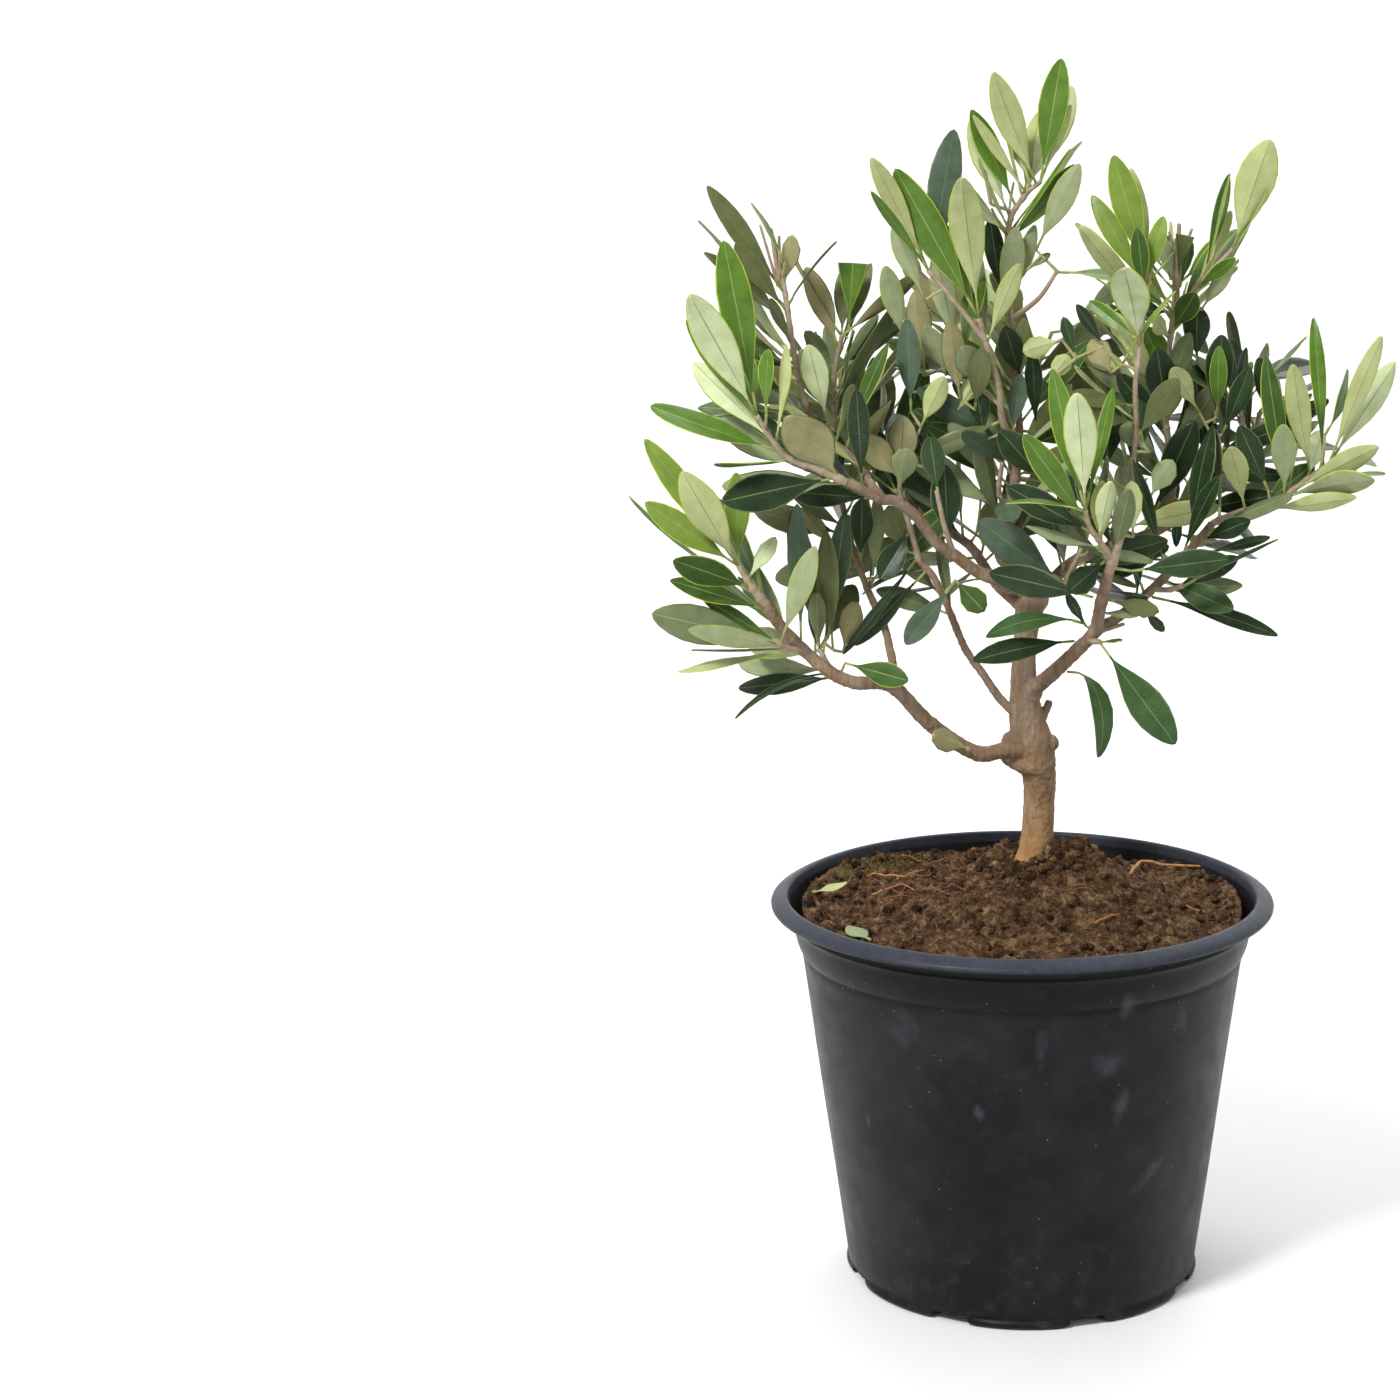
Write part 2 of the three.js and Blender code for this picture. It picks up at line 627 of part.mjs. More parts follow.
function potProfile() {
  const lipInner = RIM_RADIUS - LIP_WIDTH;
  const lipFoot = POT_HEIGHT - LIP_DROP;
  const footEdge = wallRadius(FOOT_HEIGHT) + LIP_ROUND;
  const collar = wallRadius(COLLAR_TOP) + COLLAR_STEP;
  return [
    [0, 0],
    [BASE_RADIUS, 0],
    [footEdge, FOOT_HEIGHT / 2],
    [wallRadius(FOOT_HEIGHT), FOOT_HEIGHT],
    [wallRadius(COLLAR_FOOT), COLLAR_FOOT],
    [wallRadius(COLLAR_FOOT) + COLLAR_STEP, COLLAR_FOOT + COLLAR_STEP],
    [collar, COLLAR_TOP],
    [collar + LIP_ROUND, lipFoot],
    [RIM_RADIUS - LIP_ROUND, lipFoot],
    [RIM_RADIUS, lipFoot + LIP_ROUND],
    [RIM_RADIUS - LIP_ROUND, lipFoot + 2 * LIP_ROUND],
    [lipInner + LIP_WIDTH / 3, POT_HEIGHT],
    [lipInner, POT_HEIGHT - LIP_ROUND],
    [collar - WALL, COLLAR_TOP],
    [wallRadius(COLLAR_FOOT) - WALL, COLLAR_FOOT],
    [wallRadius(FLOOR) - WALL, FLOOR],
    [0, FLOOR],
  ];
}

function makePot() {
  let pot = solidOf(turned(potProfile(), POT_SIDES));
  for (let k = 0; k < FOOT_COUNT; k++) {
    const notch = new THREE.BoxGeometry(NOTCH_DEPTH * 2, NOTCH_WIDTH, FOOT_HEIGHT * 2);
    notch.translate(BASE_RADIUS + LIP_ROUND, 0, 0);
    notch.rotateZ(radians(FIRST_NOTCH_AT + k * 360 / FOOT_COUNT));
    pot = pot.subtract(solidOf(notch));
  }
  return pot;
}

// Height of the soil at a share of the way from the trunk's foot to the pot's wall
function soilHeight(share, x, y) {
  const landing = TRUNK_FOOT.z - GAP;
  const mound = SOIL_EDGE + (landing - SOIL_EDGE) * (0.5 + 0.5 * Math.cos(Math.PI * share)) ** 0.8;
  const lumps = Math.sin(x * 0.11 + 2) * Math.cos(y * 0.13 - 1) + Math.sin((x - y) * 0.07);
  return mound + SOIL_LUMP * lumps * share * (1 - share) * 4;
}

// Rings of soil widen from the flat landing under the trunk to the wall
function makeSoil() {
  const bottom = FLOOR + GAP;
  const inner = (height) => wallRadius(height) - WALL - GAP;
  const profile = [[0, bottom], [inner(bottom), bottom], [inner(COLLAR_FOOT), COLLAR_FOOT],
    [inner(COLLAR_FOOT), SOIL_EDGE]];
  const edge = inner(COLLAR_FOOT);
  for (let ring = SOIL_RINGS - 1; ring >= 0; ring--) {
    profile.push([LANDING_RADIUS + (edge - LANDING_RADIUS) * ring / SOIL_RINGS, SOIL_EDGE + 1]);
  }
  profile.push([0, SOIL_EDGE + 1]);
  const geometry = turned(profile, POT_SIDES);
  const spots = geometry.attributes.position;
  for (let i = 0; i < spots.count; i++) {
    if (spots.getZ(i) <= SOIL_EDGE + 0.5) continue;
    const radius = Math.hypot(spots.getX(i), spots.getY(i));
    const share = Math.max(0, (radius - LANDING_RADIUS) / (edge - LANDING_RADIUS));
    const x = spots.getX(i) + TRUNK_FOOT.x * (1 - share);
    const y = spots.getY(i) + TRUNK_FOOT.y * (1 - share);
    spots.setXYZ(i, x, y, soilHeight(share, x, y));
  }
  return solidOf(geometry);
}

// Materials and assembly

const MATERIALS = {
  pot: new THREE.MeshStandardMaterial({ color: 0x24262b, roughness: 0.45 }),
  soil: new THREE.MeshStandardMaterial({ color: 0x4a3426, roughness: 1 }),
  bark: new THREE.MeshStandardMaterial({ color: 0x7d6a58, roughness: 0.9 }),
  foliage: new THREE.MeshStandardMaterial({ color: 0x5c6f45, roughness: 0.6 }),
};

function meshOf(name, solid, material) {
  const { vertProperties, triVerts } = solid.getMesh();
  const geometry = new THREE.BufferGeometry();
  geometry.setAttribute('position', new THREE.BufferAttribute(vertProperties, 3));
  geometry.setIndex(new THREE.BufferAttribute(triVerts, 1));
  const mesh = new THREE.Mesh(geometry, material);
  mesh.name = name;
  return mesh;
}

const group = new THREE.Group();
group.add(meshOf('pot', makePot(), MATERIALS.pot));
group.add(meshOf('soil', makeSoil(), MATERIALS.soil));

const limbs = growLimbs();
for (const [name, limb] of Object.entries(limbs)) {
  group.add(meshOf(name, limb.solid, MATERIALS.bark));
}

const masses = growFoliage(limbs);
Object.keys(FOLIAGE).forEach((name, i) => {
  group.add(meshOf(name, masses[i], MATERIALS.foliage));
});

export default group;
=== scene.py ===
# A young olive tree in a black nursery pot. Sizes are in millimetres, angles in degrees.

import math

import bpy
import numpy as np
from mathutils import Matrix, Vector, noise
from mathutils.bvhtree import BVHTree


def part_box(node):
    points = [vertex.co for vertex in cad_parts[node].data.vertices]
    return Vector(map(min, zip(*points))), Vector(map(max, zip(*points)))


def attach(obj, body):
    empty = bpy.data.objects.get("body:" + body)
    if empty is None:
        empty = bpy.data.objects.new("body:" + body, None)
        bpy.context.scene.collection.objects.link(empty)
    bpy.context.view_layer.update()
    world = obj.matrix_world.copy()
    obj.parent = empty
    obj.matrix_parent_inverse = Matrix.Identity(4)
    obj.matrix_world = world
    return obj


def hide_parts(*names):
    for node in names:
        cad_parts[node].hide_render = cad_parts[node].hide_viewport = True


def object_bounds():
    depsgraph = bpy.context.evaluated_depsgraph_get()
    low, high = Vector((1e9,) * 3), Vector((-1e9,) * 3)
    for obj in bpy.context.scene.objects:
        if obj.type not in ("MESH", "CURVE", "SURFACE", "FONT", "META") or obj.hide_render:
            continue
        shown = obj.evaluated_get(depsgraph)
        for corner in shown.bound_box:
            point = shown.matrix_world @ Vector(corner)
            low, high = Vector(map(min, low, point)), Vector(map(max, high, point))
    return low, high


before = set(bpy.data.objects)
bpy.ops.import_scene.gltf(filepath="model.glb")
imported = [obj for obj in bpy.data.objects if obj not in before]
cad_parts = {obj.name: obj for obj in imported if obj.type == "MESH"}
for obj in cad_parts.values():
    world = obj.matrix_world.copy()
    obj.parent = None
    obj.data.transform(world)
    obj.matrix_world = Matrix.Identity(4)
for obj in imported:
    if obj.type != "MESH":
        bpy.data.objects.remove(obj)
cad_box = [list(corner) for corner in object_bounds()]

MM = 0.001
BOX_LOW, BOX_HIGH = np.array(cad_box) / MM

# Sizes that the solids use too

RIM_RADIUS = 110
BASE_RADIUS = 77
WALL_SPREAD = 0.1326
FOOT_COUNT = 8
FOOT_HEIGHT = 4
FIRST_NOTCH_AT = -68
NOTCH_WIDTH = 16
NOTCH_REACH = 65
SOIL_EDGE = 163
SOIL_LUMP = 1.6
TRUNK_FOOT = Vector((7, 28, 178.6))
LANDING_RADIUS = 13
GAP = 0.3

LEAF_LENGTH = 46
LEAF_SLENDERNESS = 0.28
LEAF_THICKNESS = 0.7
PETIOLE = 0.7
BLADE_START = 0.14
LEAF_CLEARANCE = 0.7
STEM_END = 2
SIDE_TWIG = (2.6, 1.7)
PAIR_START = 0.18
SPREAD = (32, 62)
ROLL_JITTER = 20
LENGTH_SHARE = (0.72, 1.18)
CURL = (-26, 14)
TURN = 50
SHOW_JITTER = 18
SPRAY_CHANCE = 0.2
SPRAY_SHARE = 1.15
SINK = 0.2
VIEWER = Vector((0, -1, 0.15))

TRUNK_RUNS = [
    (-55, 85, 29), (-90, 75, 13), (-135, 75, 15), (-145, 75, 14),
    (-110, 80, 21), (-35, 85, 23), (-5, 80, 13), (150, 75, 8),
]
TRUNK_GIRTH = [
    (0, 10.2), (5, 8.2), (14, 7.3), (30, 7), (42, 7.6), (48, 8.8), (60, 9.2),
    (70, 7.6), (82, 6.2), (98, 5.2), (110, 5.3), (118, 6.3), (127, 6.2), (140, 5),
]
STUB_AT = 0.4
STUB_RUN = (0, 65, 19)
STUB_THICK = 4

# Camera: a step back and a little above, looking slightly down, at the photograph's framing

CAMERA_AT = Vector((0, -1214, 515))
CAMERA_PITCH = 11.9
CAMERA_TURN = 6.447
FRAME_PIXELS = 1400
FOCAL_PIXELS = 2832
SENSOR = 36

# Boughs: name, parent, share along the parent, thickness at both ends, runs

BOUGHS = [
    ("low_left_bough", "trunk", 0.35, (7.6, 4.8), [
        (-145, 10, 15), (-155, 0, 15), (-155, 35, 27), (-150, 45, 26), (-155, 10, 18),
        (-155, 30, 16), (-155, 45, 24), (-150, 55, 15),
    ]),
    ("low_left_fork", "low_left_bough", 0.48, (4, 2.6), [
        (120, 70, 12), (130, 70, 16), (145, 60, 14), (140, 60, 9), (140, 65, 17), (130, 70, 27),
    ]),
    ("slender_left_bough", "trunk", 0.46, (4, 3), [
        (-150, 45, 20), (-155, 55, 14), (-155, 55, 15), (-145, 65, 18), (-155, 65, 18),
        (-165, 50, 10),
    ]),
    ("mid_left_bough", "trunk", 0.88, (6, 3.8), [
        (-150, 20, 15), (-160, 25, 14), (-145, 35, 12), (-145, 35, 13), (-145, 50, 16),
        (-145, 35, 13), (-145, 10, 7), (-155, 30, 12), (-150, 25, 6),
    ]),
    ("left_upright_bough", "mid_left_bough", 0.77, (3.4, 2.8), [
        (155, 50, 23), (160, 35, 20), (155, 65, 10),
    ]),
    ("leader", "trunk", 1, (6.4, 3.8), [
        (160, 30, 14), (60, 80, 12), (20, 75, 11), (-35, 80, 17), (-110, 65, 14),
    ]),
    ("top_bough", "leader", 0.74, (3.6, 3), [
        (0, 85, 21), (120, 80, 22), (130, 86, 22),
    ]),
    ("right_bough", "trunk", 0.56, (6.8, 4.8), [
        (-50, 35, 23), (-45, 40, 21), (-55, 40, 14), (-75, 55, 16), (-75, 55, 19),
    ]),
    ("far_right_bough", "right_bough", 0.6, (4.6, 3.6), [
        (25, 25, 14), (25, 35, 20), (30, 40, 22), (25, 45, 15),
    ]),
    ("back_right_bough", "trunk", 0.83, (6, 3.6), [
        (45, 30, 14), (35, 30, 18), (20, 15, 29), (25, 20, 16), (20, 40, 22), (15, 30, 17),
    ]),
    ("centre_right_bough", "back_right_bough", 0.42, (3.8, 2.8), [
        (-60, 60, 31), (-80, 70, 12),
    ]),
    ("upright_bough", "back_right_bough", 0.66, (4, 3.2), [
        (75, 85, 24), (-175, 85, 12),
    ]),
    ("back_left_bough", "trunk", 0.78, (5.2, 3), [
        (150, 35, 20), (140, 45, 22), (150, 25, 24), (140, 40, 20),
    ]),
    ("back_bough", "leader", 0.4, (4.6, 3), [
        (90, 35, 18), (75, 50, 22), (95, 60, 22),
    ]),
]

# Foliage as in the solids: name, limb, share along it, seed, and twigs. A twig is its share
# along the stem, its runs, its seeded pairs, and its listed leaves, each share along, azimuth,
# rise, length, width, and the side that shows.

TOP, UNDER, EDGE = 0, 180, 68

FOLIAGE = [
    ("low_left_foliage", "low_left_bough", 1, 111, [
        (0, [(-150, 50, 10), (-160, 60, 11)], 2, [
            (1, -160, 55, 67, 11, TOP), (1, -135, 55, 51, 16, UNDER), (1, -175, 35, 48, 12, TOP),
            (0.2, 180, 30, 72, 5, EDGE), (0.67, 30, 55, 23, 8, UNDER),
        ]),
    ]),
    ("low_left_side_foliage", "low_left_bough", 0.81, 1012, [
        (0, [(-130, 15, 10), (-135, 30, 8)], 1, [
            (0.82, -170, 15, 56, 17, UNDER), (0.67, 175, 30, 40, 7, TOP),
            (0.53, -150, 15, 46, 9, UNDER), (0.35, -165, 0, 44, 4, EDGE), (1, 150, 45, 34, 9, TOP),
            (0.78, -20, 70, 45, 11, UNDER),
        ]),
    ]),
    ("low_left_inner_foliage", "low_left_bough", 0.66, 1113, [
        (0, [(130, 20, 10), (145, 50, 10)], 1, [
            (0.3, -160, -20, 49, 4, EDGE), (0.25, -20, 0, 31, 11, TOP), (0.84, 35, 80, 63, 11, TOP),
            (1, 170, 80, 63, 11, TOP), (1, -90, 65, 30, 8, UNDER),
        ]),
    ]),
    ("low_left_root_sprig", "low_left_bough", 0.25, 714, [
        (0, [(-120, 25, 8)], 0, [
            (0.8, -140, 25, 24, 11, UNDER),
        ]),
    ]),
    ("inner_left_foliage", "slender_left_bough", 1, 915, [
        (0, [(-175, 75, 14), (150, 70, 14), (105, 75, 9)], 3, [
            (0.34, -140, -50, 26, 12, TOP), (0.1, -85, -75, 41, 13, UNDER),
            (0.05, -155, -50, 54, 5, TOP), (1, 5, 85, 27, 14, TOP), (0.98, -150, 50, 26, 13, UNDER),
            (0.81, -70, 60, 21, 12, UNDER),
        ]),
    ]),
    ("upper_left_inner_foliage", "low_left_fork", 1, 316, [
        (0, [(135, 85, 33), (-20, 85, 16), (-35, 75, 16)], 4, [
            (0.87, -165, 70, 39, 11, UNDER), (0.97, 30, 85, 32, 9, TOP), (0.93, 40, 60, 37, 7, TOP),
            (0.27, -135, 60, 37, 12, UNDER), (0.67, 155, 50, 22, 8, UNDER),
        ]),
    ]),
    ("left_foliage", "mid_left_bough", 1, 617, [
        (0, [(-160, 25, 15), (-160, 25, 14), (-160, 55, 21)], 3, [
            (0.99, -155, 80, 74, 15, TOP), (0.99, -145, 60, 64, 16, UNDER),
            (0.87, -170, 55, 58, 9, TOP), (0.06, -140, 50, 42, 21, UNDER),
            (0.1, -150, -5, 52, 17, TOP),
        ]),
    ]),
    ("upper_left_foliage", "left_upright_bough", 1, 1118, [
        (0, [(150, 75, 18), (150, 80, 20), (145, 80, 19), (160, 75, 14)], 3, [
            (0.63, -165, 55, 57, 9, TOP), (0.66, 160, 45, 44, 6, UNDER),
            (0.53, -145, 50, 39, 9, TOP), (0.69, -15, 75, 22, 9, UNDER),
            (0.57, 35, 55, 36, 4, EDGE), (0.34, -135, 60, 29, 5, UNDER),
        ]),
    ]),
    ("top_foliage", "top_bough", 1, 119, [
        (0, [(165, 85, 21), (-80, 85, 24), (-15, 60, 14), (-15, 40, 9)], 3, [
            (0.93, -160, 65, 53, 13, UNDER), (0.85, 160, 70, 38, 9, UNDER),
            (0.77, -165, 55, 41, 5, UNDER), (0.99, -15, 80, 52, 13, TOP),
            (0.99, 30, 65, 35, 5, UNDER), (0.42, -25, 50, 49, 4, EDGE), (0.4, -10, 50, 45, 9, TOP),
            (0.2, 135, 80, 47, 6, EDGE), (0.15, -10, 70, 34, 8, UNDER),
        ]),
        (0.05, [(-30, 35, 16), (-10, 55, 14)], 3, []),
    ]),
    ("upper_middle_foliage", "leader", 1, 1020, [
        (0, [(-125, 55, 12), (-100, 65, 14), (-120, 65, 12), (-115, 55, 11), (-125, 65, 13)], 3, [
            (1, -160, 60, 73, 15, TOP), (1, -110, 70, 68, 15, UNDER), (0.95, -170, 70, 53, 6, TOP),
            (0.81, 10, 70, 38, 9, UNDER),
        ]),
        (0.3, [(160, 40, 18), (150, 60, 16)], 3, [
            (0.9, -150, 75, 42, 11, UNDER), (0.3, -120, 50, 26, 12, UNDER),
        ]),
        (0.85, [(-155, 50, 19), (-165, 50, 20)], 3, [
            (1, -165, 65, 56, 9, UNDER), (0.95, -140, 50, 49, 5, TOP), (1, 155, 65, 37, 8, UNDER),
            (0.97, 55, 75, 60, 14, TOP),
        ]),
    ]),
    ("front_foliage", "right_bough", 1, 621, [
        (0, [(-65, 55, 15), (-60, 60, 11)], 1, [
            (0.2, -75, 55, 43, 9, UNDER),
        ]),
        (0.24, [(-125, 40, 11), (-130, 45, 11), (-120, 60, 9)], 2, [
            (0.99, -110, 80, 55, 14, UNDER), (0.99, 175, 75, 60, 11, TOP),
            (0.99, 35, 75, 54, 6, TOP), (0.65, -140, 50, 53, 11, TOP),
            (0.44, -70, 65, 29, 9, UNDER),
        ]),
    ]),
    ("right_foliage", "far_right_bough", 1, 552, [
        (0, [(10, 20, 14), (5, 10, 12), (10, 35, 18), (10, 35, 13)], 4, [
            (0.99, -10, 70, 59, 9, UNDER), (0.99, 15, 55, 52, 12, UNDER),
            (0.93, 105, 80, 66, 7, TOP), (0.8, -145, 75, 53, 11, UNDER),
            (0.66, -15, 30, 42, 10, UNDER), (0.6, -100, 75, 36, 11, UNDER),
            (0.62, 130, 75, 60, 10, TOP), (0.27, -120, 65, 38, 11, UNDER),
        ]),
    ]),
    ("lower_right_foliage", "far_right_bough", 0.47, 323, [
        (0, [(-35, 5, 9), (-40, 20, 7)], 1, [
            (0.52, 5, 25, 32, 9, TOP), (1, -20, -20, 28, 11, TOP), (0.95, 0, -25, 51, 6, TOP),
            (1, 15, 25, 46, 4, EDGE),
        ]),
    ]),
    ("drooping_foliage", "right_bough", 0.5, 924, [
        (0, [(-75, 5, 8), (-55, 5, 4)], 0, [
            (1, -25, -50, 54, 16, TOP), (0.6, -75, -80, 50, 6, UNDER), (0.5, -165, 0, 47, 9, TOP),
            (0.8, -160, -5, 54, 10, TOP),
        ]),
    ]),
    ("back_right_foliage", "back_right_bough", 1, 325, [
        (0, [(40, 50, 14), (60, 65, 14)], 3, []),
        (0.5, [(100, 40, 18), (90, 60, 14)], 3, []),
        (0.2, [(-100, 60, 18), (-120, 75, 14)], 3, []),
    ]),
    ("top_right_foliage", "upright_bough", 1, 426, [
        (0, [(-175, 85, 15), (-60, 85, 27), (-45, 80, 22), (-100, 85, 26)], 5, [
            (0.95, -140, -40, 43, 3, EDGE), (0.58, -65, 40, 27, 11, TOP),
            (0.55, -125, 30, 20, 9, UNDER), (0.3, -50, 65, 32, 10, UNDER),
            (0.12, -100, 60, 40, 15, TOP),
        ]),
        (0.62, [(-40, 55, 13), (-30, 50, 13), (-20, 45, 17)], 1, [
            (0.64, 20, 75, 48, 6, TOP), (1, -30, 70, 49, 17, UNDER), (1, 40, 60, 45, 11, TOP),
            (1, -10, 55, 30, 4, EDGE), (0.52, -60, 25, 32, 6, TOP),
        ]),
        (0.55, [(80, 50, 20), (60, 65, 16)], 3, []),
    ]),
    ("centre_right_foliage", "centre_right_bough", 1, 127, [
        (0, [(-80, 70, 17), (-95, 70, 21), (-55, 80, 14), (50, 80, 18), (50, 80, 15)], 5, [
            (1, -150, 70, 53, 13, TOP), (1, 155, 80, 46, 9, UNDER), (0.92, -175, 60, 47, 9, TOP),
            (0.63, -105, 60, 48, 17, UNDER), (0.97, -45, 75, 28, 8, TOP),
            (0.66, 155, 35, 30, 7, TOP), (0.15, -40, 50, 36, 12, TOP),
        ]),
    ]),
    ("centre_foliage", "back_right_bough", 0.24, 228, [
        (0, [(-80, -5, 12), (-95, -5, 8)], 1, [
            (0.97, -160, 35, 48, 17, TOP), (0.97, -165, -5, 40, 13, TOP),
            (0.55, -165, 55, 69, 15, TOP), (0.55, -175, -15, 47, 11, UNDER),
        ]),
        (0.9, [(-60, 50, 18), (-20, 70, 16)], 2, []),
    ]),
    ("centre_left_foliage", "mid_left_bough", 0.35, 331, [
        (0, [(-120, 60, 16), (-140, 75, 16)], 3, []),
    ]),
    ("leader_foliage", "leader", 0.55, 832, [
        (0, [(-110, 40, 16), (-80, 60, 16)], 3, []),
    ]),
    ("inner_right_foliage", "back_right_bough", 0.8, 533, [
        (0, [(-70, 55, 16), (-60, 70, 14)], 3, []),
    ]),
    ("back_left_foliage", "back_left_bough", 1, 1029, [
        (0, [(150, 40, 20), (135, 55, 18)], 3, []),
        (0.4, [(100, 45, 20), (95, 60, 16)], 3, []),
        (0.5, [(-160, 50, 18), (170, 60, 14)], 3, []),
    ]),
    ("back_foliage", "back_bough", 1, 830, [
        (0, [(90, 65, 20), (80, 70, 22)], 4, []),
        (0.2, [(30, 45, 20), (40, 60, 16)], 3, []),
        (0.3, [(150, 45, 20), (140, 60, 16)], 3, []),
    ]),
]


def heading(azimuth, rise):
    a, r = math.radians(azimuth), math.radians(rise)
    return Vector((math.cos(r) * math.cos(a), math.cos(r) * math.sin(a), math.sin(r)))


def aim(direction):
    """Azimuth and rise of a unit vector."""
    return math.degrees(math.atan2(direction.y, direction.x)), math.degrees(math.asin(direction.z))


def taper(thick, share):
    """Radius at a share of a limb that runs evenly from one thickness to another."""
    return (thick[0] + (thick[1] - thick[0]) * share) / 2


def polar(radius, turn):
    """A spot round the middle, its turn in radians."""
    return radius * math.cos(turn), radius * math.sin(turn)


def across(direction):
    """The level direction at right angles to another, and the one that rises from both."""
    azimuth = math.atan2(direction.y, direction.x)
    side = Vector((-math.sin(azimuth), math.cos(azimuth), 0))
    return side, direction.cross(side)


class Chance:
    """Seeded random numbers."""

    def __init__(self, seed):
        self.state = seed

    def next(self):
        self.state = (1664525 * self.state + 1013904223) % 4294967296
        return self.state / 4294967296

    def between(self, low, high):
        return low + (high - low) * self.next()

    def pick(self, values):
        return values[int(self.next() * len(values))]


LENGTH_STEPS = 200
TANGENT_STEP = 0.0001


class Route:
    """A smooth curve through the ends of its runs."""

    def __init__(self, start, runs):
        self.points = [Vector(start)]
        for azimuth, rise, length in runs:
            self.points.append(self.points[-1] + heading(azimuth, rise) * length)
        steps = self.steps(LENGTH_STEPS)
        self.length = sum((b - a).length for a, b in zip(steps, steps[1:]))

    def at(self, share):
        points = self.points
        last = len(points) - 1
        place = last * share
        i = min(int(place), last - 1)
        w = place - i
        before = points[i - 1] if i > 0 else points[0] * 2 - points[1]
        after = points[i + 2] if i + 2 <= last else points[last] * 2 - points[last - 1]
        near, far = points[i], points[i + 1]
        t0, t1 = (far - before) * 0.5, (after - near) * 0.5
        return (near + t0 * w + ((far - near) * 3 - t0 * 2 - t1) * w ** 2
                + ((near - far) * 2 + t0 + t1) * w ** 3)

    def steps(self, count):
        return [self.at(i / count) for i in range(count + 1)]

    def tangent(self, share):
        low, high = max(0, share - TANGENT_STEP), min(1, share + TANGENT_STEP)
        return (self.at(high) - self.at(low)).normalized()

    def frames(self, rows):
        """Position, tangent, normal and binormal at equal shares, with no twist."""
        out = []
        tangent = self.tangent(0)
        normal = across(tangent)[0].normalized()
        for row in range(rows + 1):
            share = row / rows
            turned = self.tangent(share)
            normal = (normal - turned * normal.dot(turned)).normalized()
            out.append((self.at(share), turned, normal, turned.cross(normal)))
        return out


def roll_to_viewer(direction):
    """The roll that turns a blade's face to the viewer."""
    side, lift = across(direction)
    return math.degrees(math.atan2(VIEWER.dot(side), VIEWER.dot(lift)))


def pair_direction(tangent, roll, spread):
    """The direction that leaves a stem at a roll round it and a spread from it."""
    side, lift = across(tangent)
    s, r = math.radians(spread), math.radians(roll)
    return (tangent * math.cos(s) + side * (math.sin(s) * math.cos(r))
            + lift * (math.sin(s) * math.sin(r)))


class Shape:
    """Vertices, faces and each face's material number, gathered piece by piece."""

    def __init__(self):
        self.spots = []
        self.faces = []
        self.kinds = []
        self.count = 0

    def add(self, spots, faces, kinds):
        spots = np.asarray(spots, dtype=float).reshape(-1, 3)
        start = self.count
        self.spots.append(spots)
        self.faces.extend(tuple(start + i for i in face) for face in faces)
        self.kinds.extend(kinds if isinstance(kinds, (list, tuple)) else [kinds] * len(faces))
        self.count += len(spots)

    def object(self, name, materials):
        mesh = bpy.data.meshes.new(name)
        mesh.from_pydata((np.concatenate(self.spots) * MM).tolist(), [], self.faces)
        for material in materials:
            mesh.materials.append(material)
        mesh.polygons.foreach_set("material_index", self.kinds)
        mesh.polygons.foreach_set("use_smooth", [True] * len(mesh.polygons))
        mesh.update()
        piece = bpy.data.objects.new(name, mesh)
        bpy.context.scene.collection.objects.link(piece)
        return piece


def ring_faces(rows, sides):
    """Quads between rings, with a fan at each end vertex: the two poles come last."""
    faces = []
    for row in range(rows - 1):
        for k in range(sides):
            a, b = row * sides + k, row * sides + (k + 1) % sides
            faces.append((a, b, b + sides, a + sides))
    foot, tip = rows * sides, rows * sides + 1
    top = (rows - 1) * sides
    for k in range(sides):
        faces.append((foot, (k + 1) % sides, k))
        faces.append((tip, top + k, top + (k + 1) % sides))
    return faces


FOOT_DOME = 0.3
TIP_DOME = 0.5
BUMP_RATE = 0.9


def tube(shape, frames, radius, sides, kind, relief=0):
    """A limb of round section. radius(share) gives its radius, relief the height of its bumps."""
    spots = []
    rows = len(frames)
    for row, (spot, _, normal, binormal) in enumerate(frames):
        girth = radius(row / (rows - 1))
        for k in range(sides):
            angle = 2 * math.pi * k / sides
            out = normal * math.cos(angle) + binormal * math.sin(angle)
            extra = relief * noise.noise((spot + out * girth) * BUMP_RATE) if relief else 0
            spots.append(spot + out * (girth + extra))
    first, last = frames[0], frames[-1]
    spots.append(first[0] - first[1] * radius(0) * FOOT_DOME)
    spots.append(last[0] + last[1] * radius(1) * TIP_DOME)
    shape.add(spots, ring_faces(rows, sides), kind)


def camera_basis():
    """Right, up and forward of the camera."""
    pitch, turn = math.radians(CAMERA_PITCH), math.radians(CAMERA_TURN)
    right = Vector((1, 0, 0))
    forward = Vector((0, math.cos(pitch), -math.sin(pitch)))
    up = Vector((0, math.sin(pitch), math.cos(pitch)))
    return (right * math.cos(turn) + forward * math.sin(turn), up,
            forward * math.cos(turn) - right * math.sin(turn))


def to_photo(spot):
    """Where a spot shows in the photograph, in its pixels."""
    right, up, forward = camera_basis()
    ray = spot - CAMERA_AT
    scale = FOCAL_PIXELS / ray.dot(forward)
    return (FRAME_PIXELS / 2 + ray.dot(right) * scale, FRAME_PIXELS / 2 - ray.dot(up) * scale)


def from_photo(u, v, y):
    """The spot that shows at a pixel of the photograph, at a depth."""
    right, up, forward = camera_basis()
    half = FRAME_PIXELS / 2
    ray = forward + right * ((u - half) / FOCAL_PIXELS) + up * ((half - v) / FOCAL_PIXELS)
    return CAMERA_AT + ray * ((y - CAMERA_AT.y) / ray.y)


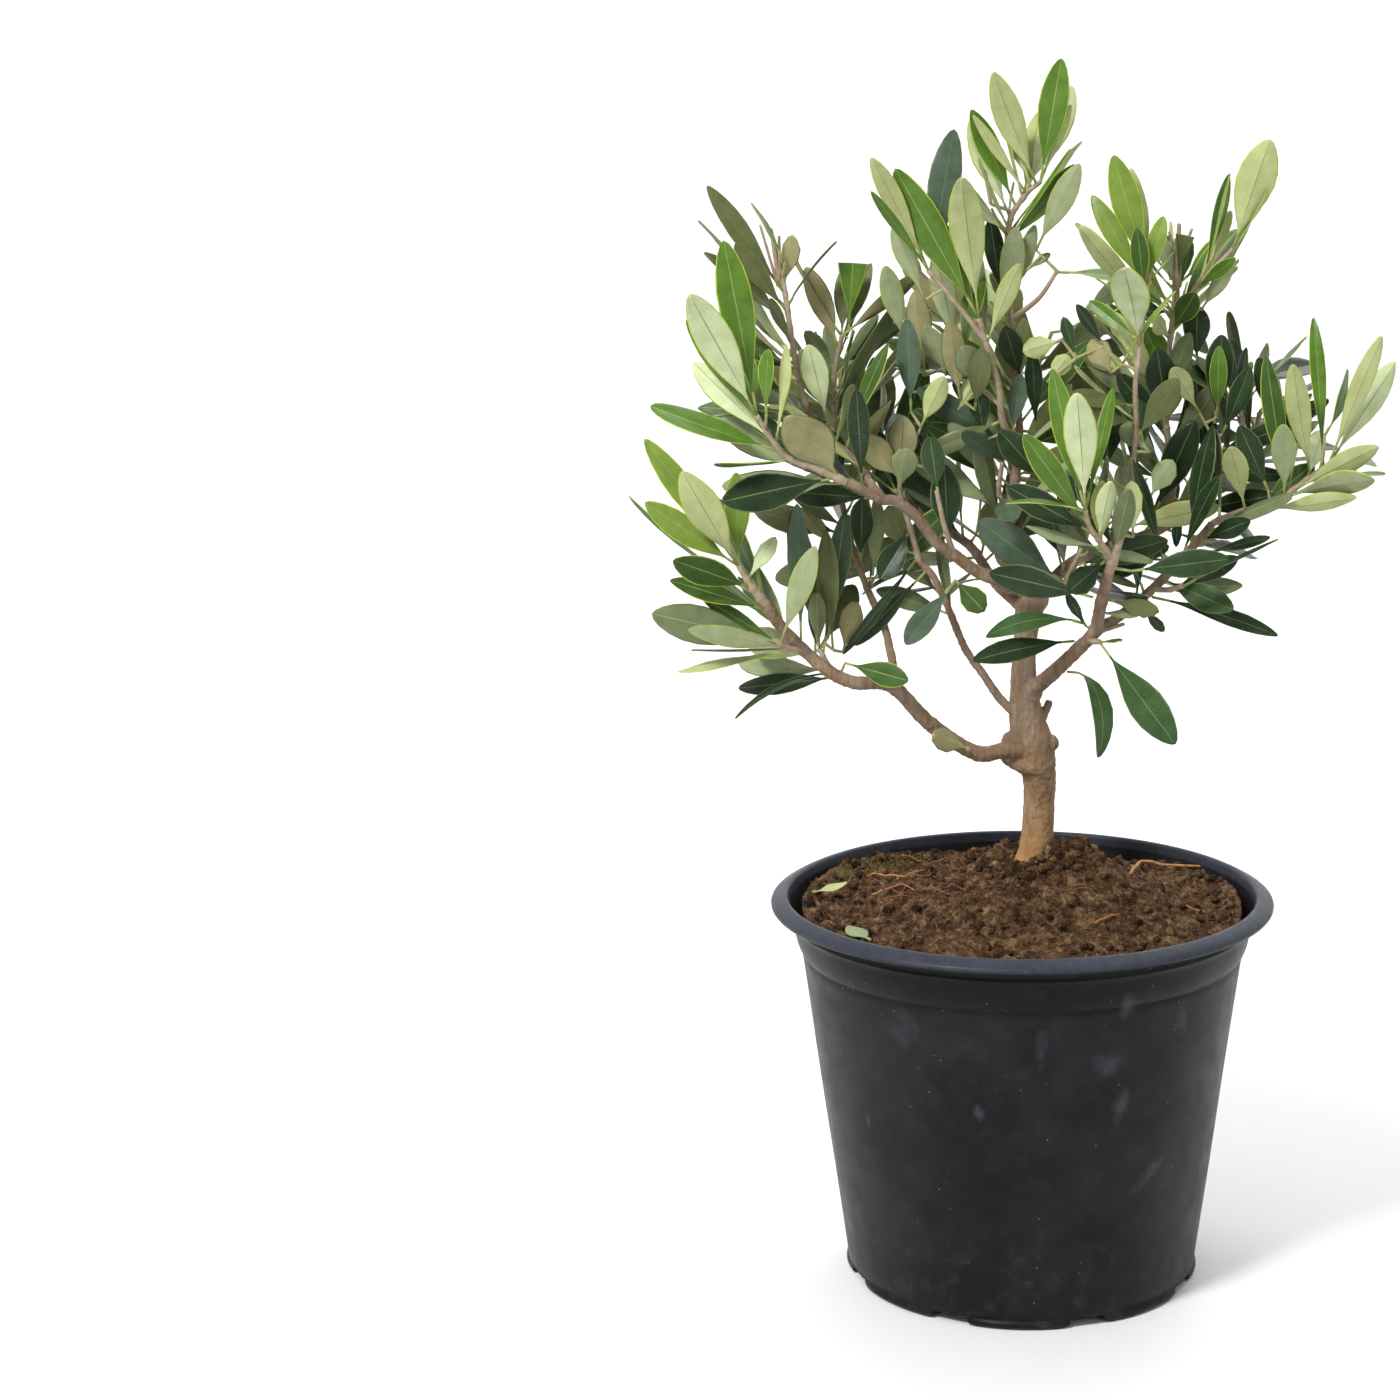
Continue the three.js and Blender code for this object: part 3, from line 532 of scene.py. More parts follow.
def onto(u, v, height):
    """The spot of a level plane that shows at a pixel of the photograph."""
    ray = from_photo(u, v, 0) - CAMERA_AT
    return CAMERA_AT + ray * ((height - CAMERA_AT.z) / ray.z)


def make_camera():
    right, up, forward = camera_basis()
    camera = bpy.data.cameras.new("camera")
    camera.sensor_width = SENSOR
    camera.lens = FOCAL_PIXELS / FRAME_PIXELS * SENSOR
    holder = bpy.data.objects.new("camera", camera)
    basis = Matrix((right, up, -forward)).transposed().to_4x4()
    holder.matrix_world = Matrix.Translation(CAMERA_AT * MM) @ basis
    bpy.context.scene.collection.objects.link(holder)
    bpy.context.scene.camera = holder


# Growth of limbs, twigs and leaves by the same seeded rule as the solids

FLARE = 0.15
FLARE_REACH = 6
TRUNK_PROBE = (20, 12)
BOUGH_PROBE_ROWS = 1.3
BOUGH_PROBE_SIDES = 5
TWIG_PROBE_SIDES = 3
LEAF_PROBE_ROWS = 3
PROBE_FULLNESS = 1.15
PROBE_POWER = 0.75


def trunk_girth(height):
    for (low, start), (high, end) in zip(TRUNK_GIRTH, TRUNK_GIRTH[1:]):
        if height <= high:
            return start + (end - start) * min(1, max(0, (height - low) / (high - low)))
    return TRUNK_GIRTH[-1][1]


class Limb:
    """The trunk or a bough."""

    def __init__(self, name, curve, girth, thick, rows, sides):
        self.name, self.curve, self.girth, self.thick = name, curve, girth, thick
        self.probe = tube_probe(curve, lambda s: girth(s) + GAP, rows, sides)


def tube_probe(curve, radius, rows, sides):
    spots = []
    for row, (spot, _, normal, binormal) in enumerate(curve.frames(rows)):
        for k in range(sides):
            a = 2 * math.pi * k / sides
            spots.append(spot + (normal * math.cos(a) + binormal * math.sin(a)) * radius(row / rows))
    spots += [curve.at(0), curve.at(1)]
    return BVHTree.FromPolygons(spots, ring_faces(rows + 1, sides))


def grow_limbs():
    curve = Route(TRUNK_FOOT, TRUNK_RUNS)
    limbs = {"trunk": Limb("trunk", curve, lambda s: trunk_girth(curve.at(s).z - TRUNK_FOOT.z),
                           None, *TRUNK_PROBE)}
    for name, parent, at, thick, runs in BOUGHS:
        route = Route(limbs[parent].curve.at(at), runs)
        girth = bough_girth(thick, route.length)
        rows = round(BOUGH_PROBE_ROWS * len(runs))
        limbs[name] = Limb(name, route, girth, thick, rows, BOUGH_PROBE_SIDES)
    return limbs


def bough_girth(thick, length):
    return lambda s: taper(thick, s) + FLARE * thick[0] * math.exp(-s * length / FLARE_REACH)


class Twig:
    """A twig, sprig or bare shoot, with the shares along it where leaves stand."""

    def __init__(self, mass, curve, thick, young):
        self.mass, self.curve, self.thick, self.young = mass, curve, thick, young
        self.shoot = False
        self.nodes = []

    def girth(self, share):
        return taper(self.thick, share)


class Leaf:
    """A blade that bends evenly along its length."""

    def __init__(self, base, direction, length, width, turn, curl):
        self.base, self.direction = base, direction
        self.length, self.width = length, width
        self.curl = math.radians(curl)
        side, lift = across(direction)
        turned = math.radians(turn)
        self.up = lift * math.cos(turned) + side * math.sin(turned)
        self.across = self.up.cross(direction)
        self.newest = False
        self.fold = 0
        self.tone = None
        self.under = None
        self.cut = 1

    def paint(self, colour):
        self.tone = colour if colour in TONES else None
        self.under = colour if colour in UNDERS else None

    def hook(self):
        """Turns the bent blade so that its tip comes to lie where a straight one's would."""
        chord, lift = self.direction, self.up
        half = self.curl / 2
        self.direction = chord * math.cos(half) - lift * math.sin(half)
        self.up = lift * math.cos(half) + chord * math.sin(half)
        self.length *= abs(half / math.sin(half))

    def centre(self, t):
        """The spot at a share of the midrib."""
        radius = self.length / self.curl
        return (self.base + self.direction * (radius * math.sin(self.curl * t) - SINK)
                + self.up * (radius * (1 - math.cos(self.curl * t))))

    def probe(self):
        """A plain hull of the blade, a little larger than it."""
        spots = []
        extra = LEAF_CLEARANCE / 2
        for row in range(LEAF_PROBE_ROWS):
            t = BLADE_START + (1 - BLADE_START) * row / LEAF_PROBE_ROWS
            share = math.sin(math.pi * t ** PROBE_FULLNESS) ** PROBE_POWER
            half = max(self.width / 2 * share, PETIOLE / 2) + extra
            middle = self.centre(t)
            spots += [middle - self.up * (LEAF_THICKNESS + extra),
                      middle + self.up * extra + self.across * half,
                      middle + self.up * extra - self.across * half]
        spots += [self.centre(BLADE_START), self.centre(1)]
        return BVHTree.FromPolygons(spots, ring_faces(LEAF_PROBE_ROWS, 3))


PIXELS_A_MM = 2.33
SHOWN_PART = (0.25, 1)
SHOWN_MIDDLE = 0.6
LEAF_MIDDLE = 0.55
SHOWN_SPARE = 2
SHOWN_BEHIND = -1
HIDING_PLACES = (0.3, 0.5, 0.75, 1)
SKY_PLACES = (0.3, 0.65, 1)


class Crown:
    """All that has grown, with what each new leaf keeps clear of."""

    def __init__(self, limbs):
        self.taken = [(None, None, False, limb.probe, None, 0) for limb in limbs.values()]
        self.leaves = []
        self.twigs = []
        self.shown = []

    def show(self, leaf):
        """Keeps a leaf that the photograph shows in view: its line and half width in pixels."""
        ends = [np.array(to_photo(leaf.centre(t))) for t in SHOWN_PART]
        spot = leaf.centre(SHOWN_MIDDLE)
        half = leaf.width / 2 * abs(leaf.up.dot(VIEWER)) * PIXELS_A_MM
        self.shown.append((*ends, half + SHOWN_SPARE, spot.y))

    def hides(self, leaf):
        """Whether a leaf would stand before one that the photograph shows."""
        for t in HIDING_PLACES:
            spot = leaf.centre(t)
            pixel = np.array(to_photo(spot))
            for start, end, half, depth in self.shown:
                if spot.y > depth + SHOWN_BEHIND:
                    continue
                line = end - start
                along = min(1, max(0, (pixel - start) @ line / (line @ line)))
                if np.linalg.norm(start + line * along - pixel) < half:
                    return True
        return False

    def suits(self, leaf):
        """Whether a leaf keeps out of the crown's openings and hides nothing that should show."""
        return clear_of_sky(leaf) and not self.hides(leaf)

    def touches(self, mass, twig, probe, centre, reach, strict):
        for owner, own_twig, is_twig, other, middle, size in self.taken:
            own = is_twig or (own_twig is twig and not strict)
            if owner is mass and own:
                continue
            if middle is not None and (middle - centre).length > reach + size:
                continue
            if probe.overlap(other):
                return True
        return False

    def add_twig(self, mass, start, runs, thick, young=False):
        twig = Twig(mass, Route(start, runs), thick, young)
        rows = max(2, len(runs))
        probe = tube_probe(twig.curve, lambda s: twig.girth(s) + LEAF_CLEARANCE, rows,
                           TWIG_PROBE_SIDES)
        self.twigs.append(twig)
        self.taken.append((mass, twig, True, probe, twig.curve.at(0.5), twig.curve.length))
        return twig

    def add_leaf(self, mass, twig, leaf, share, strict=False):
        probe = leaf.probe()
        centre = leaf.centre(LEAF_MIDDLE)
        if self.touches(mass, twig, probe, centre, leaf.length * 0.5, strict):
            return None
        self.taken.append((mass, twig, False, probe, centre, leaf.length * 0.5))
        leaf.share = share
        leaf.mass = mass
        self.leaves.append(leaf)
        if twig:
            twig.nodes.append(share)
        return leaf


BOX_SPARE = 0.5
FINER_SEED = 5000


class Mass:
    """One mass of foliage: its limb, its two rows of random numbers and its planned twigs."""

    def __init__(self, name, limb, at, seed):
        self.name, self.limb, self.at = name, limb, at
        self.chance = Chance(seed)
        self.finer = Chance(seed + FINER_SEED)
        self.planned = []
        low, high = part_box(name)
        self.low, self.high = Vector(low) / MM, Vector(high) / MM

    def holds(self, spot):
        return all(low - BOX_SPARE <= s <= high + BOX_SPARE
                   for low, s, high in zip(self.low, spot, self.high))


def grow_twigs(name, limb_name, at, seed, twigs, limbs, crown):
    limb = limbs[limb_name]
    mass = Mass(name, limb, at, seed)
    for share, runs, pairs, leaves in twigs:
        stem = mass.planned[0][0] if mass.planned else None
        start = stem.curve.at(share) if stem else limb.curve.at(at)
        first = limb.thick[1] - GAP if at == 1 else SIDE_TWIG[0]
        twig = crown.add_twig(mass, start, runs, SIDE_TWIG if stem else (first, STEM_END))
        mass.planned.append((twig, pairs, leaves))
    return mass


# Listed leaves that the photograph shows bent over or on a bough itself, by mass, twig and
# place in the list: how far they bend, roll, width, colour, and the bough that they spring from
# with the pixels of foot and tip

PLACED = {
    ("drooping_foliage", 0, 1): (-118, 42, 11, "green", "right_bough", (1068, 671), (1098, 758)),
    ("drooping_foliage", 0, 2): (-70, -42, 11, "green", "right_bough", (1084, 623), (985, 637)),
    ("drooping_foliage", 0, 3): (-25, -25, 11, "dark", "right_bough", (1074, 641), (972, 661)),
    ("low_left_inner_foliage", 0, 0): (-62, -48, 4, "dark", None, None, None),
    ("centre_foliage", 0, 1): (10, 12, 14, "dark", "right_bough", (1092, 597), (989, 573)),
    ("lower_right_foliage", 0, 1): (12, 10, 12, "green", "far_right_bough", (1160, 578), (1234, 610)),
    ("lower_right_foliage", 0, 2): (-25, 25, 8, "dark", "far_right_bough", (1152, 597), (1279, 636)),
}
FOOT_STEPS = 60

# Listed leaves of another colour than the rest of their mass

COLOURED = {
    ("inner_left_foliage", 0, 3): "fawn", ("inner_left_foliage", 0, 4): "beige",
    ("inner_left_foliage", 0, 5): "sage", ("left_foliage", 0, 3): "beige",
    ("upper_middle_foliage", 2, 3): "grey", ("upper_left_foliage", 0, 3): "beige",
}


def placed_leaf(leaf, limbs, curl, roll, width, tone, bough, foot, end):
    """The same leaf with its own bend, from a spot of a bough or from its own twig."""
    tip = leaf.centre(1)
    if bough:
        steps = limbs[bough].curve.steps(FOOT_STEPS)
        joint = min(steps, key=lambda spot: math.dist(to_photo(spot), foot))
        leaf.base = from_photo(*foot, joint.y - 1)
        tip = from_photo(*end, tip.y)
    direction = (tip - leaf.base).normalized()
    turn = roll_to_viewer(direction) + roll
    bent = Leaf(leaf.base, direction, (tip - leaf.base).length, width, turn, curl)
    bent.hook()
    bent.tone = tone
    return bent


def grow_listed(mass, crown, limbs):
    """The leaves that the plan lists one by one."""
    for number, (twig, _, leaves) in enumerate(mass.planned):
        for place, (where, azimuth, rise, length, width, shows) in enumerate(leaves):
            curl = mass.chance.between(*CURL)
            direction = heading(azimuth, rise)
            jitter = mass.chance.between(-SHOW_JITTER, SHOW_JITTER)
            turn = roll_to_viewer(direction) + shows + jitter
            leaf = Leaf(twig.curve.at(where), direction, length, width, turn, curl)
            key = (mass.name, number, place)
            if key in PLACED:
                leaf = placed_leaf(leaf, limbs, *PLACED[key])
            if key in COLOURED:
                leaf.paint(COLOURED[key])
            if crown.add_leaf(mass, twig, leaf, where) and not mass.name.startswith("back"):
                crown.show(leaf)


def grow_pairs(mass, crown):
    """Seeded pairs along each twig, every one at right angles to the one below it."""
    chance = mass.chance
    for twig, pairs, _ in mass.planned:
        first = chance.between(0, 180)
        for pair in range(pairs):
            along = PAIR_START + (1 - PAIR_START) * (pair + 1) / pairs
            base, tangent = twig.curve.at(along), twig.curve.tangent(along)
            for half in (0, 180):
                roll = first + 90 * pair + half + chance.between(-ROLL_JITTER, ROLL_JITTER)
                direction = pair_direction(tangent, roll, chance.between(*SPREAD))
                length = LEAF_LENGTH * chance.between(*LENGTH_SHARE)
                turn = chance.between(-TURN, TURN)
                curl = chance.between(*CURL)
                share = SPRAY_SHARE if chance.next() < SPRAY_CHANCE else 1
                width = length * share * LEAF_SLENDERNESS
                leaf = Leaf(base, direction, length * share, width, turn, curl)
                if crown.suits(leaf):
                    crown.add_leaf(mass, twig, leaf, along)


# Finer growth, in the scene alone: older leaves between the listed ones, side sprigs, and the
# young pair at each tip

OLD_STEP = 4.6
OLD_PART = (0.03, 0.8)
OLD_LEAF = (36, 57)
OLD_SPREAD = (32, 68)
OLD_TRIES = 9
SPRIG_STEP = 11
SPRIG_LENGTH = (8, 18)
SPRIG_LEAF = (26, 44)
SPRIG_PLACE = (0.3, 0.9)
SPRIG_SPREAD = (35, 65)
SPRIG_BEND = 15
SPRIG_STEEPEST = 85
SPRIG_LEAF_SPREAD = (28, 60)
SPRIG_THICK = (1.7, 1.1)
TIP_LEAF = (12, 24)
TIP_SPREAD = (8, 26)
WIDTH_SHARE = (0.21, 0.3)
END_ON = 0.8
CROWN_AXIS = Vector((0, 10, 0))
OUT_RISE = 0.45
OUT_JITTER = 42
UNDER_CHANCE = 0.45


def roll_outwards(spot, direction, chance):
    """The roll that turns a blade's face outwards from the crown, now and then its underside."""
    out = spot - CROWN_AXIS
    out = Vector((out.x, out.y, 0)).normalized() + Vector((0, 0, OUT_RISE))
    side, lift = across(direction)
    roll = math.degrees(math.atan2(out.dot(side), out.dot(lift)))
    flip = 180 if chance.next() < UNDER_CHANCE else 0
    return roll + flip + chance.between(-OUT_JITTER, OUT_JITTER)


def end_on(direction):
    """Whether a leaf would show as a mere disc, straight at the viewer or straight away."""
    return abs(direction.dot(VIEWER.normalized())) > END_ON


def finer_leaf(mass, crown, twig, share, roll, spread, length, chance):
    """A leaf on a twig where its mass's box and the rest of the crown leave room for it."""
    direction = pair_direction(twig.curve.tangent(share), roll, spread)
    width = length * chance.between(*WIDTH_SHARE)
    spot = twig.curve.at(share)
    turn = roll_outwards(spot + direction * length / 2, direction, chance)
    leaf = Leaf(spot, direction, length, width, turn, chance.between(*CURL))
    if mass.holds(leaf.centre(1)) and crown.suits(leaf) and not end_on(direction):
        return crown.add_leaf(mass, twig, leaf, share, strict=True)
    return None


# Openings in the crown where the sky shows: middle and half size in the photograph's pixels

SKY = [
    ((1052, 285), (28, 75)), ((1148, 205), (22, 36)), ((1203, 215), (16, 45)),
    ((810, 188), (56, 45)), ((855, 205), (18, 55)), ((1278, 290), (36, 50)),
    ((1335, 570), (50, 45)), ((910, 695), (55, 38)), ((690, 640), (45, 22)),
    ((1330, 535), (75, 28)), ((1290, 575), (40, 26)), ((1150, 690), (60, 40)),
    ((1200, 655), (60, 28)), ((1262, 602), (34, 14)), ((700, 700), (60, 14)),
    ((1010, 560), (14, 14)), ((1278, 241), (32, 22)), ((1096, 181), (22, 14)),
    ((1290, 556), (24, 30)), ((1178, 172), (14, 42)),
]


def clear_of_sky(leaf):
    """Whether a leaf stands in none of those openings."""
    for t in SKY_PLACES:
        u, v = to_photo(leaf.centre(t))
        for (cu, cv), (ru, rv) in SKY:
            if ((u - cu) / ru) ** 2 + ((v - cv) / rv) ** 2 < 1:
                return False
    return True


# Leaves between the masses as the photograph shows them, each on the limb or twig nearest to its
# foot, on a shoot of its own where that is a step away. By depth: foot and tip in pixels, width,
# and the colour of the side that shows

FRONT, MIDDLE, BACK = -25, 5, 35
SEEN_LEAN = (0, -5, 5, -10, 10, -16, 16, -22, 22, -28, 28)
SEEN_JITTER = 14
SHOOT_FROM = 1.6
SHOOT_TO = 25
DEPTH_WEIGHT = 0.15
JOINT_STEPS = 12

SEEN = {
    FRONT: [
        (845, 663, 909, 681, 11, "mid"), (921, 427, 945, 376, 10, "pale"), (958, 410, 977, 377, 9, "pale"),
        (828, 422, 808, 344, 12, "silver"), (1176, 394, 1143, 325, 13, "bright"),
        (1122, 364, 1176, 290, 4, "young"), (1199, 412, 1172, 367, 10, "pale"),
        (1217, 417, 1219, 345, 8, "bright"), (1155, 514, 1195, 420, 15, "dark"),
        (1111, 373, 1091, 339, 12, "beige"), (1013, 433, 1021, 373, 8, "grey"),
        (1101, 548, 1102, 480, 9.5, "pale"), (1133, 537, 1132, 480, 9, "pale"),
        (1150, 497, 1173, 459, 11, "sage"), (1131, 571, 1230, 559, 12, "deep"),
        (1101, 613, 1141, 615, 4, "sage"),
    ],
    MIDDLE: [
        (828, 638, 845, 512, 10.5, "deep"), (801, 640, 797, 503, 10, "grey"),
        (815, 652, 818, 590, 8, "dark"), (924, 573, 854, 646, 8, "dark"), (952, 585, 905, 645, 11, "grey"),
        (884, 577, 953, 503, 13, "mid"), (948, 545, 944, 464, 14, "dark"),
        (975, 536, 984, 462, 5, "bright"), (862, 486, 856, 388, 10, "dark"),
        (911, 412, 907, 318, 11, "grey"), (1036, 250, 1080, 163, 11, "sage"),
        (1027, 270, 1051, 253, 4, "mid"), (1145, 300, 1137, 227, 8, "mid"),
        (1175, 287, 1162, 236, 7, "sage"), (1180, 287, 1192, 240, 5, "mid"),
        (1206, 274, 1230, 172, 4, "young"), (1201, 310, 1233, 263, 7, "sage"),
        (1197, 363, 1197, 305, 12, "dark"), (1215, 423, 1222, 334, 13, "dark"),
        (1222, 434, 1250, 366, 10, "deep"), (1282, 428, 1258, 357, 11, "dark"),
        (1268, 490, 1239, 425, 11, "dark"), (1170, 438, 1117, 373, 11, "dark"),
        (1104, 346, 1076, 304, 6, "dark"), (1076, 358, 1063, 316, 6, "deep"),
        (1062, 340, 1022, 352, 10, "pale"), (1047, 382, 1070, 355, 9, "pale"),
        (1021, 380, 1005, 326, 11, "dark"), (1046, 482, 999, 430, 13, "deep"),
        (1200, 541, 1251, 520, 9, "dark"), (1203, 554, 1271, 537, 5, "deep"),
        (1178, 500, 1176, 548, 5, "dark"), (1132, 520, 1120, 465, 9, "sage"),
        (873, 575, 878, 498, 8, "sage"), (836, 548, 800, 507, 8, "beige"),
        (1086, 626, 1066, 592, 5, "dark"), (938, 495, 930, 436, 11, "deep"),
        (848, 338, 858, 186, 14, "bright"), (1172, 285, 1146, 190, 11, "olive"),
        (1176, 285, 1197, 178, 10, "olive"), (1143, 610, 1165, 632, 5, "deep"),
        (1106, 560, 1068, 592, 12, "dark"),
    ],
    BACK: [
        (833, 650, 826, 530, 10, "olive"), (955, 580, 985, 612, 12, "mid"),
        (981, 556, 994, 497, 10, "beige"), (1003, 420, 924, 455, 9, "olive"),
        (925, 376, 915, 290, 11, "beige"), (946, 375, 925, 325, 10, "sage"),
        (960, 400, 950, 320, 11, "beige"), (975, 410, 985, 345, 10, "olive"),
        (1003, 302, 990, 218, 9, "dark"), (1006, 326, 1016, 226, 11, "sage"),
        (1036, 432, 1032, 350, 8, "dark"), (1105, 480, 1112, 400, 12, "dark"),
        (1150, 452, 1120, 425, 10, "sage"), (860, 562, 862, 498, 11, "dark"),
        (908, 552, 888, 505, 14, "olive"), (843, 652, 856, 600, 11, "beige"),
        (1108, 600, 1160, 612, 8, "olive"), (1132, 556, 1170, 546, 8, "dark"),
        (925, 300, 893, 225, 9, "sage"), (905, 345, 885, 265, 10, "sage"),
        (1075, 470, 1060, 400, 11, "dark"), (1130, 470, 1142, 400, 11, "deep"),
        (985, 440, 975, 380, 10, "dark"), (930, 470, 912, 420, 9, "dark"), (845, 470, 830, 430, 9, "dark"),
        (1060, 560, 1045, 500, 12, "dark"),
    ],
}
ON_EDGE = [(975, 536), (1206, 274), (1122, 364)]
CLIPPED = {(848, 338): 0.5, (1172, 285): 0.5, (1176, 285): 0.48}


def nearest_joint(crown, limbs, masses, pixel, depth):
    """The spot of a twig or bough that shows nearest to a pixel, and the mass it belongs to."""
    best = (math.inf, None, None)
    for carrier in crown.twigs + [limb for limb in limbs.values() if limb.thick]:
        for spot in carrier.curve.steps(JOINT_STEPS):
            off = math.dist(to_photo(spot), pixel) / PIXELS_A_MM
            cost = off + DEPTH_WEIGHT * abs(spot.y - depth)
            best = min(best, (cost, spot, carrier), key=lambda found: found[0])
    _, joint, carrier = best
    if isinstance(carrier, Twig):
        return joint, carrier.mass
    return joint, {mass.limb.name: mass for mass in masses}.get(carrier.name, masses[0])


def add_shoot(crown, mass, start, end, thick, young=False):
    """A bare straight shoot from spot to spot."""
    way = end - start
    shoot = crown.add_twig(mass, start, [(*aim(way.normalized()), way.length / 2)] * 2, thick, young)
    shoot.shoot = True


SEEN_SEED = 909


def grow_seen(crown, limbs, masses):
    """The leaves of the table above, each at the first depth of its tip where it touches nothing."""
    chance = Chance(SEEN_SEED)
    for depth, rows in SEEN.items():
        for foot_u, foot_v, tip_u, tip_v, width, colour in rows:
            foot = (foot_u, foot_v)
            joint, mass = nearest_joint(crown, limbs, masses, foot, depth)
            base = from_photo(*foot, joint.y)
            reach = (base - joint).length
            jitter = chance.between(-SEEN_JITTER, SEEN_JITTER)
            curl = chance.between(*CURL)
            if reach > SHOOT_TO:
                continue
            side = EDGE if foot in ON_EDGE else UNDER if colour in UNDERS else TOP
            for lean in SEEN_LEAN:
                end = from_photo(tip_u, tip_v, base.y + lean)
                direction = (end - base).normalized()
                turn = roll_to_viewer(direction) + side + jitter
                leaf = Leaf(base, direction, (end - base).length, width, turn, curl)
                leaf.hook()
                leaf.paint(colour)
                leaf.cut = CLIPPED.get(foot, 1)
                if crown.add_leaf(mass, None, leaf, 1, strict=True):
                    if depth < BACK:
                        crown.show(leaf)
                    if reach > SHOOT_FROM:
                        add_shoot(crown, mass, joint, base, SPRIG_THICK, young=True)
                    break


# Bare ends of shoots that were cut or have died back: foot and tip in pixels, thickness

STUBS = [
    ((778, 286), (760, 225), 1.4), ((779, 282), (771, 229), 2.0), ((780, 276), (779, 236), 1.5),
    ((991, 204), (984, 170), 1.7), ((1177, 300), (1179, 224), 2.3), ((1178, 264), (1192, 229), 1.6),
    ((1178, 260), (1169, 232), 1.4), ((1099, 632), (1124, 624), 2.0),
]
STUB_TAPER = 0.8
SHORTEST_PART = 1


def grow_stubs(crown, limbs, masses):
    for foot, tip, thick in STUBS:
        joint, mass = nearest_joint(crown, limbs, masses, foot, MIDDLE)
        base, end = (from_photo(*pixel, joint.y) for pixel in (foot, tip))
        for start, stop in ((joint, base), (base, end)):
            if (stop - start).length >= SHORTEST_PART:
                add_shoot(crown, mass, start, stop, (thick, thick * STUB_TAPER))


# Where each bough begins to carry leaves of its own

BOUGH_LEAVES = {
    "low_left_bough": 0.78, "low_left_fork": 0.5, "slender_left_bough": 0.62,
    "mid_left_bough": 0.72, "left_upright_bough": 0.1, "leader": 0.15, "top_bough": 0.1,
    "far_right_bough": 0.35, "back_right_bough": 0.3, "centre_right_bough": 0.1,
    "upright_bough": 0.1, "back_left_bough": 0.3, "back_bough": 0.3,
}
BOUGH_STEP = 3.4
BOUGH_LEAF = (36, 56)
BOUGH_SPREAD = (35, 80)
BOUGH_TRIES = 9
BOUGH_SINK = 0.6
BOUGH_SEED = 3000
OTHER_BOUGH = 10
EDGE_SPARE = 8


def grow_on_boughs(crown, limbs, masses):
    """Old leaves along the upper part of every bough, which fill the inside of the crown."""
    for name, first in BOUGH_LEAVES.items():
        limb = limbs[name]
        mass = min(masses, key=lambda m: 1 - m.at + (m.limb.name != name) * OTHER_BOUGH)
        chance = Chance(BOUGH_SEED + round(limb.curve.length * 10))
        steps = max(2, round(limb.curve.length * (1 - first) / BOUGH_STEP))
        for step in range(steps):
            for _ in range(BOUGH_TRIES):
                share = first + (1 - first) * (step + chance.next()) / steps
                direction = pair_direction(limb.curve.tangent(share), chance.between(0, 360),
                                           chance.between(*BOUGH_SPREAD))
                length = chance.between(*BOUGH_LEAF)
                base = limb.curve.at(share) + direction * limb.girth(share) * BOUGH_SINK
                turn = roll_outwards(base + direction * length / 2, direction, chance)
                leaf = Leaf(base, direction, length, length * chance.between(*WIDTH_SHARE), turn,
                            chance.between(*CURL))
                fits = crown.suits(leaf) and inside(leaf) and not end_on(direction)
                if fits and crown.add_leaf(mass, None, leaf, 0, strict=True):
                    break


def inside(leaf):
    """Whether a leaf ends well inside the box round everything."""
    tip = np.array(leaf.centre(1))
    return bool(np.all(tip > BOX_LOW + EDGE_SPARE) and np.all(tip < BOX_HIGH - EDGE_SPARE))


def grow_old_leaves(mass, crown):
    chance = mass.finer
    for twig, _, _ in mass.planned:
        for _ in range(max(2, round(twig.curve.length / OLD_STEP))):
            for _ in range(OLD_TRIES):
                share = chance.between(*OLD_PART)
                leaf = finer_leaf(mass, crown, twig, share, chance.between(0, 360),
                                  chance.between(*OLD_SPREAD), chance.between(*OLD_LEAF), chance)
                if leaf:
                    # Painted shade: the old leaves of the front foliage all take the dark tone, as they
                    # lie in a shaded gap of the crown.
                    leaf.tone = "dark" if mass.name == "front_foliage" else None
                    break


def grow_sprigs(mass, crown):
    chance = mass.finer
    for twig, _, _ in mass.planned:
        count = max(1, int(twig.curve.length / SPRIG_STEP))
        for i in range(count):
            share = (i + chance.between(*SPRIG_PLACE)) / count
            roll = chance.between(0, 360)
            direction = pair_direction(twig.curve.tangent(share), roll,
                                       chance.between(*SPRIG_SPREAD))
            azimuth, rise = aim(direction)
            length = chance.between(*SPRIG_LENGTH)
            start = twig.curve.at(share)
            steeper = min(SPRIG_STEEPEST, rise + SPRIG_BEND)
            runs = [(azimuth, rise, length / 2), (azimuth, steeper, length / 2)]
            if not mass.holds(start + direction * length):
                continue
            sprig = crown.add_twig(mass, start, runs, SPRIG_THICK, young=True)
            for pair, along in enumerate((0.5, 1)):
                for half in (0, 180):
                    finer_leaf(mass, crown, sprig, along, roll + 90 * pair + half,
                               chance.between(*SPRIG_LEAF_SPREAD), chance.between(*SPRIG_LEAF),
                               chance)
            if not sprig.nodes:
                crown.twigs.pop()
                crown.taken.pop()


def grow_tips(mass, crown):
    chance = mass.finer
    for twig in [t for t in crown.twigs if t.mass is mass and not t.shoot]:
        roll = chance.between(0, 180)
        for half in (0, 180):
            leaf = finer_leaf(mass, crown, twig, 1, roll + half, chance.between(*TIP_SPREAD),
                              chance.between(*TIP_LEAF), chance)
            if leaf:
                leaf.newest = True


# Leaf meshes

